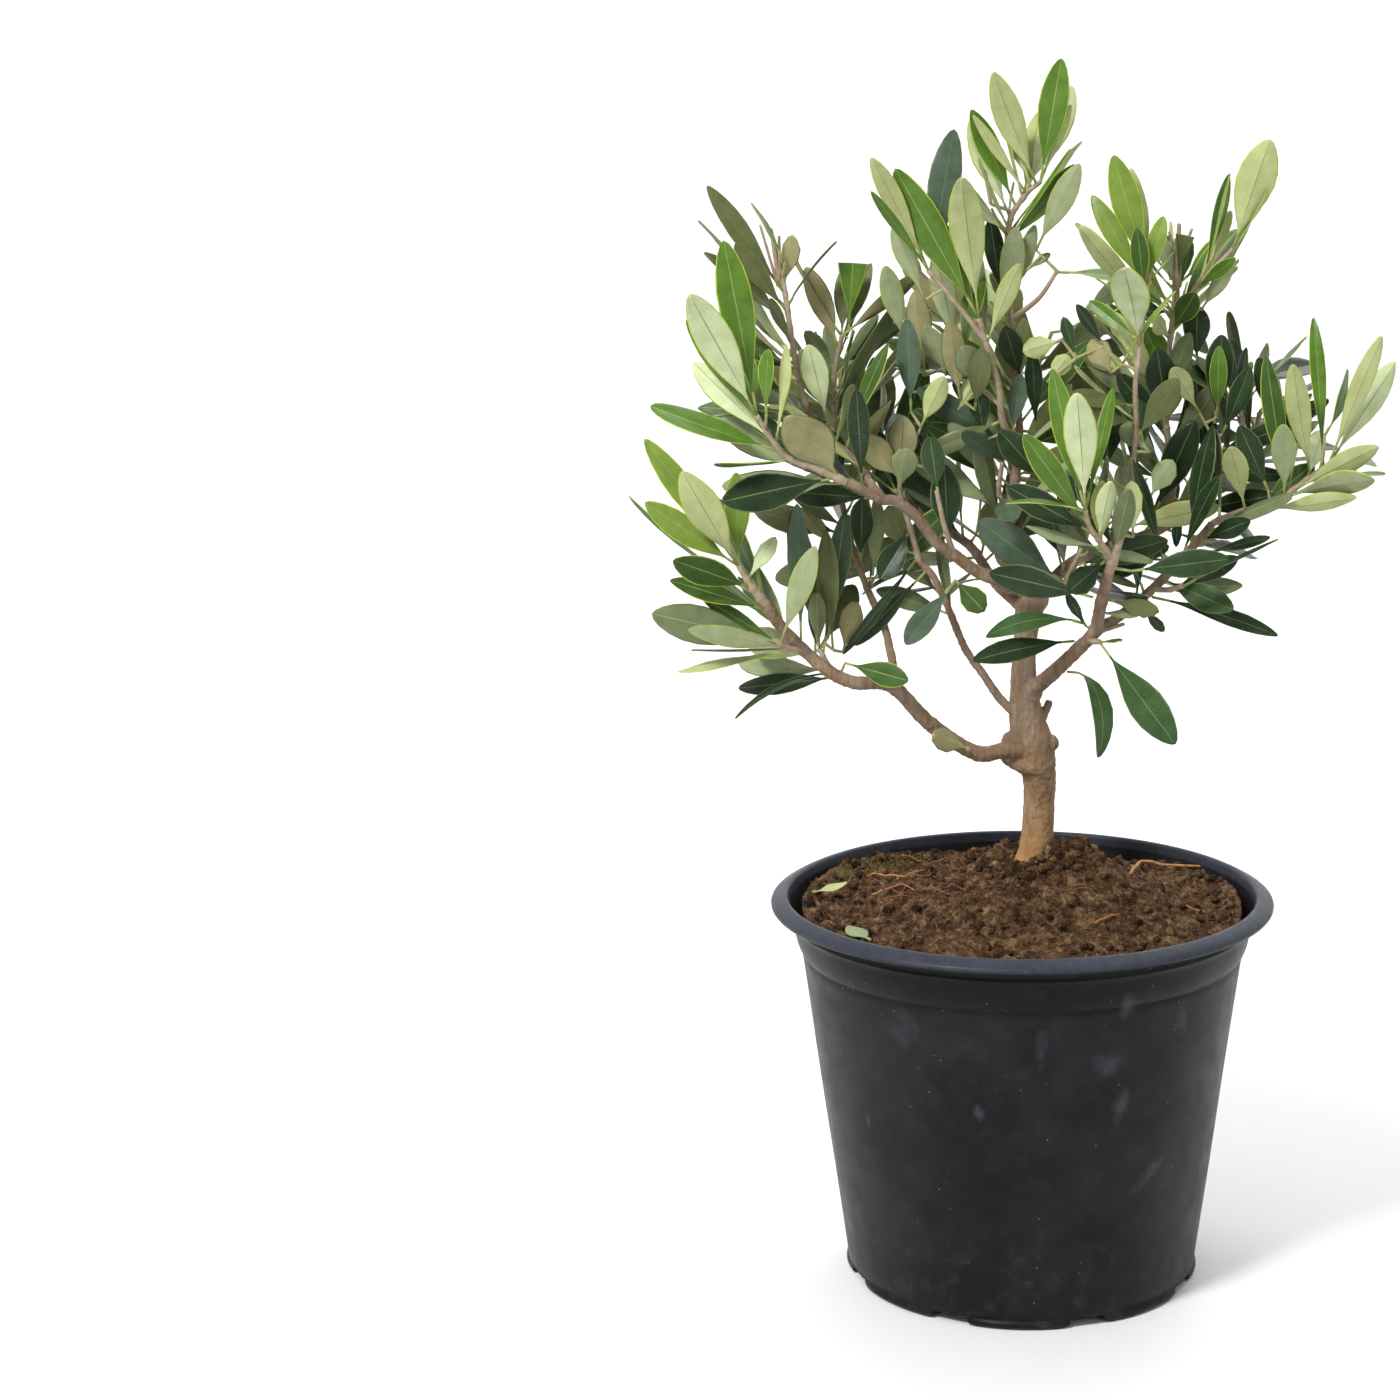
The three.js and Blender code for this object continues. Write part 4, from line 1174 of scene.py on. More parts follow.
COLUMNS = np.array([-1, -0.92, -0.5, -0.035, 0.035, 0.5, 0.92, 1])
FULLNESS = (1.12, 1.42)
FOOT_POWER = 0.95
POWER_DROP = 0.36
FIRST_ROW = 0.06
STALK_ROW = 0.8
LEAF_ROWS = 12
SMALL_LEAF = 24
SMALL_LEAF_ROWS = 7
BLADE, MARGIN, RIB = range(3)
STRIP_KIND = [MARGIN, BLADE, BLADE, RIB, BLADE, BLADE, MARGIN]
BLADE_THICKNESS = 0.36
RIB_THICKNESS = 0.42
RIB_WIDTH = 0.12
GROOVE_WIDTH = 0.1
GROOVE_DEPTH = 0.1
RIM_DROP = 0.13
WAVE_HEIGHT = 0.035
WAVE_RATE = 9
STALK_WIDTH = 1.1
STALK_MARGIN = 0.05
NEAR_TIP = 0.9
ROUND = 6.28


def blade_width(t, fullness):
    """Share of the full width at a share of the length: a stalk, then a blade that is widest
    past its middle, more so the higher its fullness is."""
    s = np.clip((t - BLADE_START) / (1 - BLADE_START), 0, 1)
    return np.sin(np.pi * s ** fullness) ** (FOOT_POWER - POWER_DROP * s)


def leaf_rows(count):
    """Shares of the length: one step for the stalk, then the blade, closer at its ends."""
    blade = 0.5 - 0.5 * np.cos(np.pi * np.linspace(FIRST_ROW, 1, count - 1))
    return np.concatenate([[0, BLADE_START * STALK_ROW], BLADE_START + (1 - BLADE_START) * blade])


def add_leaf_mesh(shape, leaf, kinds, rows, chance):
    """A closed blade: folded and waved, with a grooved rib above and a raised one below."""
    shares = leaf_rows(rows)[:-1] if leaf.cut == 1 else leaf_rows(rows)[1:] * leaf.cut
    n, m = len(shares), len(COLUMNS)
    radius = leaf.length / leaf.curl
    bend = leaf.curl * shares
    direction, up, side = (np.array(v) for v in (leaf.direction, leaf.up, leaf.across))
    centre = (np.array(leaf.base) + np.outer(radius * np.sin(bend) - SINK, direction)
              + np.outer(radius * (1 - np.cos(bend)), up))
    lift = np.outer(np.cos(bend), up) - np.outer(np.sin(bend), direction)
    fullness = chance.between(*FULLNESS)
    half = np.maximum(leaf.width / 2 * blade_width(shares, fullness),
                      STALK_WIDTH / 2 * (shares < NEAR_TIP))
    wave_at = chance.between(0, ROUND)
    c = COLUMNS[None, :]
    wave = WAVE_HEIGHT * leaf.width * np.sin(shares[:, None] * WAVE_RATE + wave_at + 2 * c)
    on_blade = np.clip((shares - BLADE_START) / 0.1, 0, 1)[:, None]
    cup = (leaf.fold * np.abs(c) - RIM_DROP * np.abs(c) ** 3) * half[:, None]
    groove = GROOVE_DEPTH * np.exp(-(c / GROOVE_WIDTH) ** 2)
    height = (cup + wave * np.abs(c) - groove) * on_blade
    flat = centre[:, None, :] + side * (c * half[:, None])[..., None]
    top = flat + lift[:, None, :] * (height + BLADE_THICKNESS / 2)[..., None]
    thick = np.where(np.abs(c) == 1, 0, BLADE_THICKNESS)
    thick = thick + RIB_THICKNESS * np.exp(-(c / RIB_WIDTH) ** 2)
    stalk = STALK_WIDTH * (1 - c ** 2) ** 0.5 + STALK_MARGIN
    thick = np.where(shares[:, None] < BLADE_START, stalk, thick)
    low = top - lift[:, None, :] * thick[..., None]
    edge = (top + low) / 2
    top[:, [0, -1]] = edge[:, [0, -1]]
    ends = [np.array(leaf.centre(leaf.cut)), centre[0]]
    spots = np.concatenate([top.reshape(-1, 3), low[:, 1:-1].reshape(-1, 3), ends])
    shape.add(np.clip(spots, BOX_LOW, BOX_HIGH), *leaf_faces(n, m, kinds))


FACE_CACHE = {}


def leaf_faces(n, m, kinds):
    """Faces and material numbers of a blade of n rows and m columns."""
    if (n, kinds) in FACE_CACHE:
        return FACE_CACHE[n, kinds]
    top_blade, top_rib, low_blade, low_rib, margin, stalk = kinds
    tip, foot = n * m + n * (m - 2), n * m + n * (m - 2) + 1

    def upper(i, j):
        return i * m + j

    def lower(i, j):
        return upper(i, j) if j in (0, m - 1) else n * m + i * (m - 2) + j - 1

    faces, out = [], []
    for i in range(n - 1):
        for j in range(m - 1):
            kind = STRIP_KIND[j]
            above = {BLADE: top_blade, MARGIN: margin, RIB: top_rib}[kind]
            below = {BLADE: low_blade, MARGIN: margin, RIB: low_rib}[kind]
            if i < 2:
                above = below = stalk
            faces += [(upper(i, j), upper(i, j + 1), upper(i + 1, j + 1), upper(i + 1, j)),
                      (lower(i, j), lower(i + 1, j), lower(i + 1, j + 1), lower(i, j + 1))]
            out += [above, below]
    for j in range(m - 1):
        faces += [(upper(n - 1, j), upper(n - 1, j + 1), tip),
                  (lower(n - 1, j + 1), lower(n - 1, j), tip),
                  (upper(0, j + 1), upper(0, j), foot), (lower(0, j), lower(0, j + 1), foot)]
        out += [top_blade, low_blade, stalk, stalk]
    FACE_CACHE[n, kinds] = (faces, out)
    return FACE_CACHE[n, kinds]


# Materials


def linear(code):
    """A colour written as a web code, as linear values."""
    parts = [int(code[i:i + 2], 16) / 255 for i in (1, 3, 5)]
    return [c / 12.92 if c <= 0.04045 else ((c + 0.055) / 1.055) ** 2.4 for c in parts] + [1]


class Surface:
    """A principled material with its nodes laid out by short calls."""

    def __init__(self, name, colour, roughness, specular):
        self.material = bpy.data.materials.new(name)
        self.material.use_nodes = True
        self.tree = self.material.node_tree
        self.shader = self.tree.nodes["Principled BSDF"]
        self.put("Base Color", colour)
        self.put("Roughness", roughness)
        self.put("Specular IOR Level", specular)
        self.place = self.tree.nodes.new("ShaderNodeTexCoord").outputs["Object"]

    def fill(self, socket, value):
        """Gives a socket a web colour, a number or another node's output."""
        if isinstance(value, bpy.types.NodeSocket):
            self.tree.links.new(value, socket)
        else:
            socket.default_value = linear(value) if isinstance(value, str) else value

    def put(self, name, value):
        self.fill(self.shader.inputs[name], value)

    def node(self, kind, sockets, **settings):
        node = self.tree.nodes.new("ShaderNode" + kind)
        for key, value in settings.items():
            setattr(node, key, value)
        for socket, value in sockets.items():
            self.fill(node.inputs[socket], value)
        return node

    def stretched(self, scale):
        return self.node("Mapping", {"Vector": self.place, "Scale": scale}).outputs["Vector"]

    def noise(self, scale, detail=4, roughness=0.55, place=None):
        sockets = {"Vector": place or self.place, "Scale": scale, "Detail": detail,
                   "Roughness": roughness}
        return self.node("TexNoise", sockets).outputs["Fac"]

    def cells(self, scale):
        return self.node("TexVoronoi", {"Vector": self.place, "Scale": scale}).outputs["Distance"]

    def ramp(self, source, *stops):
        node = self.node("ValToRGB", {"Fac": source})
        elements = node.color_ramp.elements
        while len(elements) < len(stops):
            elements.new(0.5)
        for element, (place, colour) in zip(elements, stops):
            element.position = place
            element.color = linear(colour) if isinstance(colour, str) else [colour] * 3 + [1]
        return node.outputs["Color"]

    def mix(self, factor, first, second):
        sockets = {0: factor, 6: first, 7: second}
        return self.node("Mix", sockets, data_type="RGBA").outputs[2]

    def patches(self, low, high, *noise):
        """A mask that goes from 0 to 1 between two values of a noise."""
        return self.ramp(self.noise(*noise), (low, 0), (high, 1))

    def specks(self, low, high, scale):
        """A mask that is 1 near scattered spots and 0 between them."""
        return self.ramp(self.cells(scale), (low, 1), (high, 0))

    def maths(self, operation, first, second):
        return self.node("Math", {0: first, 1: second}, operation=operation).outputs[0]

    def times(self, first, second):
        return self.maths("MULTIPLY", first, second)

    def tint(self, below, mask, amount, colour):
        """Lays a colour over what is below, as far as a mask and an amount say."""
        return self.mix(self.times(mask, amount), below, colour)

    def height(self, low, high):
        """0 to 1 between two heights in metres."""
        up = self.node("SeparateXYZ", {"Vector": self.place}).outputs["Z"]
        sockets = {"Value": up, "From Min": low, "From Max": high}
        return self.node("MapRange", sockets).outputs["Result"]

    def bump(self, source, distance, strength):
        sockets = {"Height": source, "Distance": distance, "Strength": strength}
        self.put("Normal", self.node("Bump", sockets).outputs["Normal"])


def leaf_surface(name, colour, darker, roughness, specular, dust=0):
    surface = Surface(name, colour, roughness, specular)
    mottle = surface.patches(0.35, 0.7, 160, 3)
    mixed = surface.mix(mottle, colour, darker)
    if dust:
        grains = surface.patches(0.62, 0.72, 1500, 2, 0.5)
        patches = surface.patches(0.48, 0.7, 70, 2)
        mixed = surface.tint(mixed, surface.times(grains, patches), dust, "#9aa898")
    surface.put("Base Color", mixed)
    dull = surface.ramp(surface.noise(420, 2), (0.3, roughness - 0.06), (0.75, roughness + 0.1))
    surface.put("Roughness", dull)
    surface.bump(surface.noise(900, 3), 0.00012, 0.5)
    return surface.material


def mottled(name, colour, other, roughness, specular, patch, grain, depth):
    """A plain surface of two colours: stops, scale and detail of its patches, and its grain."""
    surface = Surface(name, colour, roughness, specular)
    surface.put("Base Color", surface.mix(surface.patches(*patch), colour, other))
    surface.bump(surface.noise(*grain), depth, 0.6)
    return surface.material


# Colour and its darker patches: of upper sides, undersides, ribs, margins and stalks. A sheen is
# a roughness and a strength of reflection

TONES = {
    "dark": ("#21341a", "#192913"),
    "deep": ("#2b4022", "#22341b"),
    "green": ("#355026", "#29421e"),
    "mid": ("#3f5a26", "#334b1f"),
    "bright": ("#527324", "#44621e"),
    "young": ("#708733", "#60782c"),
    "grey": ("#4b5e4b", "#3f503f"),
    "olive": ("#5c623a", "#505631"),
    "fawn": ("#908a66", "#827c59"),
}
UNDERS = {
    "silver": ("#bcc69c", "#abb589"),
    "pale": ("#a9b07c", "#99a06c"),
    "sage": ("#8e9772", "#808a64"),
    "beige": ("#989169", "#88825b"),
    "moss": ("#697250", "#5d6646"),
}
TRIMS = {
    "rib_dark": ("#5d6f4a", "#526442", 0.45, 0.4),
    "rib_light": ("#7f9148", "#738540", 0.45, 0.4),
    "rib_under": ("#848c5e", "#7a8256", 0.55, 0.3),
    "margin_dull": ("#5f6e40", "#526136", 0.45, 0.4),
    "margin_bright": ("#a6b63a", "#94a331", 0.45, 0.4),
    "stalk": ("#8f9656", "#7d8449", 0.5, 0.4),
}
DUSTY = ("dark", "deep", "green", "grey")
DUST = 0.4
TOP_SHEEN = (0.36, 0.26)
UNDER_SHEEN = (0.62, 0.2)
LIGHT_EDGED = ("mid", "bright", "young")
NEWEST = ("young", "bright", "mid")

# Undersides that go with an upper side, and the upper side over an underside that shows

PAIRED = {
    "dark": ("moss", "sage"), "deep": ("moss", "sage"), "green": ("moss", "sage"),
    "mid": ("sage", "pale"), "bright": ("silver", "pale"), "young": ("silver", "pale"),
    "grey": ("sage", "moss"), "olive": ("beige", "moss"), "fawn": ("beige",),
}
OVER = {"silver": "bright", "pale": "bright", "sage": "mid", "beige": "olive"}


def leaf_materials():
    """Every leaf material, and its number by name."""
    made = {}
    for name, colours in TONES.items():
        dust = DUST if name in DUSTY else 0
        made["top_" + name] = leaf_surface("leaf_top_" + name, *colours, *TOP_SHEEN, dust)
    for name, colours in UNDERS.items():
        made["under_" + name] = leaf_surface("leaf_under_" + name, *colours, *UNDER_SHEEN)
    for name, look in TRIMS.items():
        made[name] = leaf_surface("leaf_" + name, *look)
    return {name: number for number, name in enumerate(made)}, list(made.values())


def leaf_kinds(names, tone, under):
    """Material numbers of a leaf: top, its rib, underside, its rib, margin and stalk."""
    rib, margin = ("light", "bright") if tone in LIGHT_EDGED else ("dark", "dull")
    parts = ("top_" + tone, "rib_" + rib, "under_" + under, "rib_under", "margin_" + margin, "stalk")
    return tuple(names[part] for part in parts)


# What each mass's leaves look like, from its old leaves to its young ones

LOOKS = {
    "low_left_foliage": "mid mid bright young",
    "low_left_side_foliage": "olive olive mid olive",
    "low_left_inner_foliage": "dark dark mid olive",
    "low_left_root_sprig": "olive",
    "inner_left_foliage": "dark mid olive grey",
    "upper_left_inner_foliage": "olive grey grey olive",
    "left_foliage": "dark mid bright bright",
    "upper_left_foliage": "mid olive olive bright",
    "top_foliage": "mid bright bright bright",
    "upper_middle_foliage": "grey grey bright bright",
    "front_foliage": "deep dark bright bright",
    "right_foliage": "dark mid mid bright",
    "lower_right_foliage": "dark dark deep dark",
    "drooping_foliage": "dark deep green",
    "back_right_foliage": "dark dark mid dark",
    "top_right_foliage": "dark mid bright young",
    "centre_right_foliage": "mid olive bright young",
    "centre_foliage": "deep dark deep grey",
    "centre_left_foliage": "deep grey olive",
    "leader_foliage": "deep grey dark",
    "inner_right_foliage": "deep dark mid",
    "back_left_foliage": "grey mid olive mid",
    "back_foliage": "mid olive bright mid",
}
LOOK_JITTER = 0.8
FOLD = (0.02, 0.3)
LOOK_SEED = 77


def make_leaves(names, materials, number, leaves):
    shape = Shape()
    chance = Chance(LOOK_SEED + number)
    for leaf in leaves:
        look = LOOKS[leaf.mass.name].split()
        place = int(leaf.share * len(look) + chance.between(-LOOK_JITTER, LOOK_JITTER))
        tone = look[max(0, min(len(look) - 1, place))]
        if leaf.newest:
            tone = chance.pick(NEWEST)
        if leaf.tone:
            tone = leaf.tone
        under = leaf.under or chance.pick(PAIRED[tone])
        if leaf.under:
            tone = OVER[under]
        leaf.fold = chance.between(*FOLD)
        rows = LEAF_ROWS if leaf.length > SMALL_LEAF else SMALL_LEAF_ROWS
        add_leaf_mesh(shape, leaf, leaf_kinds(names, tone, under), rows, chance)
    return shape.object("leaves_" + str(number), materials)


# Bark: every limb's tube is joined by a fine remesh, so that forks swell into each other, and
# then gets its relief

BARK_VOXEL = 0.6
FOOT_SUNK = 4
FORK_FLARE = 0.42
FORK_REACH = 5
KNOT_STEP = 19
KNOT_SHARE = 0.05
SMOOTHING = 0.5
SMOOTH_ROUNDS = 4
TRUNK_INSET = 0.15
TRUNK_ROWS = 150
BOUGH_ROW = 0.8
CROWN_FOOT = 310
GIRTH_LOW, GIRTH_HIGH = 6, 3
AXIS_STEPS = 120
TRUNK_SIDES, BOUGH_SIDES, STUB_SIDES, SWELL_SIDES, LIP_SIDES = 48, 20, 14, 22, 18
STUB_ROWS = 12
STUB_SWELL, STUB_SLIM = 1.25, 0.35
FEWEST_ROWS = 20
SWELL_ROWS = 14
SWELL_SHARE = 0.86
SWELL_END = 0.03
LIP_SLIM = 0.3
UPRIGHT = (0, 89)
GRAIN_RATE, GRAIN_RELIEF = (0.9, 0.9, 0.16), 0.22
ROUGH_RATE, ROUGH_RELIEF = 0.55, 0.3
FINE_RATE, FINE_RELIEF = 1.9, 0.1
SLIM_GIRTH = 5

# Swellings of the trunk: pixel of the photograph, depth from the trunk's axis, radius

SWELLS = [
    ((1012, 744), -1, 6.0), ((1022, 745), -1, 6.6), ((1036, 748), 0, 7.2), ((1052, 743), -1, 3.6),
    ((1033, 692), -3, 5.0), ((1026, 606), -1, 5.6), ((1040, 600), -2, 4.6),
]

# The lip of old bark under the lowest fork, from its left end round the front

LIP_LINE = [
    ((1003, 751), -1), ((1012, 759), -4), ((1025, 766), -6), ((1040, 767), -5.5), ((1052, 760), -2),
]
LIP_RADIUS = 4.0


def fork_girth(limb):
    length = limb.curve.length

    def radius(share):
        flare = FORK_FLARE * limb.thick[0] / 2 * math.exp(-share * length / FORK_REACH)
        base = taper(limb.thick, share)
        knot = KNOT_SHARE * base * max(0, math.cos(2 * math.pi * share * length / KNOT_STEP)) ** 6
        return base + flare + knot
    return radius


def bark_relief(spot, girth):
    """Height of the bark above its smooth shape."""
    grain = GRAIN_RELIEF * noise.noise([s * rate for s, rate in zip(spot, GRAIN_RATE)])
    rough = ROUGH_RELIEF * noise.noise(spot * ROUGH_RATE)
    fine = FINE_RELIEF * noise.noise(spot * FINE_RATE)
    return min(1, girth / SLIM_GIRTH) * (grain + rough) + fine


def beside_trunk(trunk, pixel, off):
    """A spot at a pixel, in front of or behind the trunk's axis there."""
    steps = trunk.curve.steps(AXIS_STEPS)
    axis = min(steps, key=lambda spot: abs(to_photo(spot)[1] - pixel[1]))
    return from_photo(*pixel, axis.y + off)


def rounded(points, rounds=3):
    """The same line with its corners cut."""
    for _ in range(rounds):
        cut = [spot for a, b in zip(points, points[1:]) for spot in ((a * 3 + b) / 4, (a + b * 3) / 4)]
        points = [points[0]] + cut + [points[-1]]
    return points


def make_bark(limbs):
    shape = Shape()
    trunk = limbs["trunk"]
    frames = trunk.curve.frames(TRUNK_ROWS)
    foot = frames[0]
    level = [(foot[0] - Vector((0, 0, FOOT_SUNK)),) + foot[1:]] + frames

    def trunk_radius(share):
        height = level[round(share * (len(level) - 1))][0].z - TRUNK_FOOT.z
        return trunk_girth(max(0, height)) - TRUNK_INSET

    tube(shape, level, trunk_radius, TRUNK_SIDES, 0)
    stub = Route(trunk.curve.at(STUB_AT), [STUB_RUN])
    tube(shape, stub.frames(STUB_ROWS), lambda s: STUB_THICK / 2 * (STUB_SWELL - STUB_SLIM * s),
         STUB_SIDES, 0)
    for limb in limbs.values():
        if limb is not trunk:
            rows = max(FEWEST_ROWS, round(limb.curve.length / BOUGH_ROW))
            tube(shape, limb.curve.frames(rows), fork_girth(limb), BOUGH_SIDES, 0)
    for pixel, off, radius in SWELLS:
        centre = beside_trunk(trunk, pixel, off)
        curve = Route(centre - Vector((0, 0, radius)), [(*UPRIGHT, radius * 2)])
        tube(shape, curve.frames(SWELL_ROWS), lambda s, r=radius * SWELL_SHARE:
             r * math.sqrt(max(SWELL_END, 1 - (2 * s - 1) ** 2)), SWELL_SIDES, 0)
    lip = rounded([beside_trunk(trunk, pixel, off) for pixel, off in LIP_LINE])
    tube(shape, frames_of(lip), lambda s: LIP_RADIUS * (1 - LIP_SLIM * abs(2 * s - 1) ** 3),
         LIP_SIDES, 0)
    piece = shape.object("bark", [bark_surface()])
    remesh = piece.modifiers.new("join", "REMESH")
    remesh.mode = "VOXEL"
    remesh.voxel_size = BARK_VOXEL * MM
    remesh.use_smooth_shade = True
    smooth = piece.modifiers.new("smooth", "SMOOTH")
    smooth.factor = SMOOTHING
    smooth.iterations = SMOOTH_ROUNDS
    apply_modifiers(piece)
    mesh = piece.data
    spots, normals = np.empty((2, len(mesh.vertices) * 3))
    mesh.vertices.foreach_get("co", spots)
    mesh.vertex_normals.foreach_get("vector", normals)
    spots, normals = spots.reshape(-1, 3), normals.reshape(-1, 3)
    for place, normal in zip(spots, normals):
        spot = Vector(place) / MM
        girth = GIRTH_LOW if spot.z < CROWN_FOOT else GIRTH_HIGH
        place += normal * bark_relief(spot, girth) * MM
    mesh.vertices.foreach_set("co", spots.ravel())
    mesh.update()
    return piece


def apply_modifiers(piece):
    """Puts the mesh that a piece's modifiers give in place of its own."""
    graph = bpy.context.evaluated_depsgraph_get()
    mesh = bpy.data.meshes.new_from_object(piece.evaluated_get(graph))
    piece.modifiers.clear()
    piece.data = mesh


def bark_surface():
    surface = Surface("bark", "#86715b", 0.82, 0.25)
    grain = surface.stretched((1, 1, 0.22))
    mixed = surface.ramp(surface.noise(150, 4, 0.6, grain), (0.34, "#76614a"), (0.66, "#b09c87"))
    warm = surface.patches(0.45, 0.72, 60, 3)
    cracks = surface.ramp(surface.noise(520, 4, 0.7, grain), (0.42, 1), (0.52, 0))
    pores = surface.specks(0.1, 0.2, 430)
    # Painted shade: the dark tint #5f4d3f over the bark above 205 to 235 mm darkens the upper trunk and
    # the boughs.
    for mask, amount, colour in (
            (warm, 0.6, "#a27b53"), (surface.height(0.25, 0.225), 0.45, "#97764c"),
            (surface.height(0.205, 0.235), 0.45, "#5f4d3f"), (cracks, 0.35, "#574637"),
            (pores, 0.28, "#c3b5a2"), (surface.height(0.20, 0.176), 0.8, "#b07a40")):
        mixed = surface.tint(mixed, mask, amount, colour)
    surface.put("Base Color", mixed)
    surface.put("Roughness", surface.ramp(surface.noise(200), (0.3, 0.72), (0.8, 0.92)))
    surface.bump(surface.noise(700, 5, 0.7, grain), 0.0004, 0.7)
    return surface.material


def twig_surface(name, colour, other):
    return mottled(name, colour, other, 0.68, 0.3, (0.38, 0.66, 260, 4), (1100, 4), 0.0002)


TWIG_ROW = 0.9
TWIG_RELIEF = 0.09
NODE_SWELL = 0.28
NODE_REACH = 0.9
MOST_NODES = 12
FEWEST_TWIG_ROWS = 8
TWIG_SIDES, YOUNG_SIDES = 8, 6


def make_twigs(crown):
    shape = Shape()
    for twig in crown.twigs:
        length = twig.curve.length
        rows = max(FEWEST_TWIG_ROWS, round(length / TWIG_ROW))
        nodes = sorted(set(round(n, 2) for n in twig.nodes))[:MOST_NODES]

        def radius(share, twig=twig, length=length, nodes=nodes):
            swell = sum(math.exp(-((share - n) * length / NODE_REACH) ** 2) for n in nodes)
            return twig.girth(share) * (1 + NODE_SWELL * min(1, swell))

        sides, kind = (YOUNG_SIDES, 1) if twig.young else (TWIG_SIDES, 0)
        tube(shape, twig.curve.frames(rows), radius, sides, kind, relief=TWIG_RELIEF)
    surfaces = [twig_surface("twig_bark", "#8b7a63", "#a3937f"),
                twig_surface("twig_green", "#8d8a5a", "#a09a72")]
    return shape.object("twigs", surfaces)


# Pot. The lip is a row of radius and height, from the wall up and over to the inside

POT_COLUMNS = 240
NOTCH_BEVEL = 0.12
WALL_WAVE = 0.12
WAVE_TOP = 160
WAVES_ROUND = 3
WAVE_LEAN = 0.05
WAVE_FADE = 60
WALL_THICKNESS = 2.3
INNER_FLOOR = 3
LIP = [
    (96.55, 146.6), (96.3, 147.3), (96.35, 148.1), (96.75, 148.6), (97.3, 149.2), (98.2, 151.2),
    (99.0, 153.6), (99.6, 156.4), (100.1, 159.4), (100.5, 161.9), (101.0, 162.3), (101.15, 162.8),
    (100.75, 163.2), (100.8, 165.0), (101.3, 166.8), (102.1, 167.7), (103.4, 168.0),
    (108.4, 168.05), (109.4, 168.35), (109.9, 169.0), (110.0, 169.8), (109.75, 170.5),
    (109.1, 171.1), (107.4, 172.1), (105.6, 173.0), (104.7, 173.4), (104.0, 173.5),
    (103.2, 173.35), (102.6, 172.8), (102.3, 171.9), (101.6, 168.6), (100.4, 165.2),
    (99.0, 162.5), (97.6, 158.0), (96.0, 153.5), (94.7, 149.0),
]
FOOT_BULGE = 1.2


def wall_radius(height):
    return BASE_RADIUS + WALL_SPREAD * height


def pot_profile():
    """Radius, height, and whether the point belongs to a foot."""
    points = [(30, 0, False), (55, 0, False), (NOTCH_REACH, 0, False),
              (NOTCH_REACH + 0.05, 0, True), (70, 0, True), (75.4, 0, True)]
    for k in range(7):
        angle = math.pi * k / 6
        points.append((BASE_RADIUS + FOOT_BULGE * math.sin(angle) + 0.1 * k,
                       0.25 + (FOOT_HEIGHT - 0.5) * k / 6, True))
    points += [(wall_radius(4.2) - 0.35, 4.25, False), (wall_radius(4.8) - 0.3, 4.8, False)]
    points += [(wall_radius(h), h, False) for h in (5.5, *np.linspace(12, 144, 24))]
    points += [(r, h, False) for r, h in LIP]
    points += [(wall_radius(h) - WALL_THICKNESS, h, False) for h in (110, 70, 35, 8, 3.2)]
    return points + [(40, INNER_FLOOR, False)]


def make_pot():
    half = math.degrees(math.asin(NOTCH_WIDTH / 2 / BASE_RADIUS))
    notches = [FIRST_NOTCH_AT + k * 360 / FOOT_COUNT for k in range(FOOT_COUNT)]
    angles = {round(k * 360 / POT_COLUMNS, 3) for k in range(POT_COLUMNS)}
    for edge in (-half - NOTCH_BEVEL, -half, half, half + NOTCH_BEVEL):
        angles |= {round((notch + edge) % 360, 3) for notch in notches}
    angles = sorted(angles)
    profile = pot_profile()
    spots = []
    for radius, height, is_foot in profile:
        for angle in angles:
            near = min(abs((angle - n + 180) % 360 - 180) for n in notches)
            r, z = foot_spot(radius, height, near, half) if is_foot else (radius, height)
            a = math.radians(angle)
            if z <= WAVE_TOP:
                r += WALL_WAVE * math.sin(a * WAVES_ROUND + z * WAVE_LEAN) * min(1, z / WAVE_FADE)
            spots.append((*polar(r, a), z))
    spots += [(0, 0, 0), (0, 0, INNER_FLOOR)]
    shape = Shape()
    shape.add(spots, ring_faces(len(profile), len(angles)), 0)
    return shape.object("pot_shell", [pot_surface()])


HALF_FOOT = 180 / FOOT_COUNT
FOOT_CORNER = 0.72
CORNER_LIFT = 1.6
FOOT_EDGE = 72


def foot_spot(radius, height, near, half):
    """Where a point of a foot's outline lies, by its turn from the nearest notch."""
    if near < half + NOTCH_BEVEL / 2:
        return min(radius, wall_radius(FOOT_HEIGHT) - 0.1), FOOT_HEIGHT
    place = (HALF_FOOT - near) / (HALF_FOOT - half)
    bulge = max(0.0, 1 - place ** 4)
    out = radius
    if radius > BASE_RADIUS - 0.5:
        out = BASE_RADIUS + (radius - BASE_RADIUS) * bulge + height * WALL_SPREAD * (1 - bulge)
    lift = 0
    if radius > FOOT_EDGE:
        lift = max(0.0, (place - FOOT_CORNER) / (1 - FOOT_CORNER)) ** 2 * CORNER_LIFT
    return out, min(FOOT_HEIGHT, max(height, lift))


# Pale smears on the wall: pixel of the photograph, half width and half height in mm, lean

SMEARS = [
    ((1041, 1050), (5, 13), 0), ((1108, 1062), (12, 9), 20), ((1128, 1005), (8, 10), 0),
    ((1118, 1110), (6, 16), 10), ((1150, 1172), (4.5, 19), 48), ((1182, 1020), (6, 12), -10),
    ((868, 1120), (3, 8), 0), ((978, 1112), (4, 6), 0), ((905, 1030), (10, 14), 15),
]
SMEAR_REACH = 0.05
WALL_ROUNDS = 8


def on_pot(u, v):
    """The spot of the pot's wall that shows at a pixel."""
    depth = -RIM_RADIUS
    for _ in range(WALL_ROUNDS):
        spot = from_photo(u, v, depth)
        depth = -math.sqrt(max(1, wall_radius(spot.z) ** 2 - spot.x ** 2))
    return from_photo(u, v, depth)


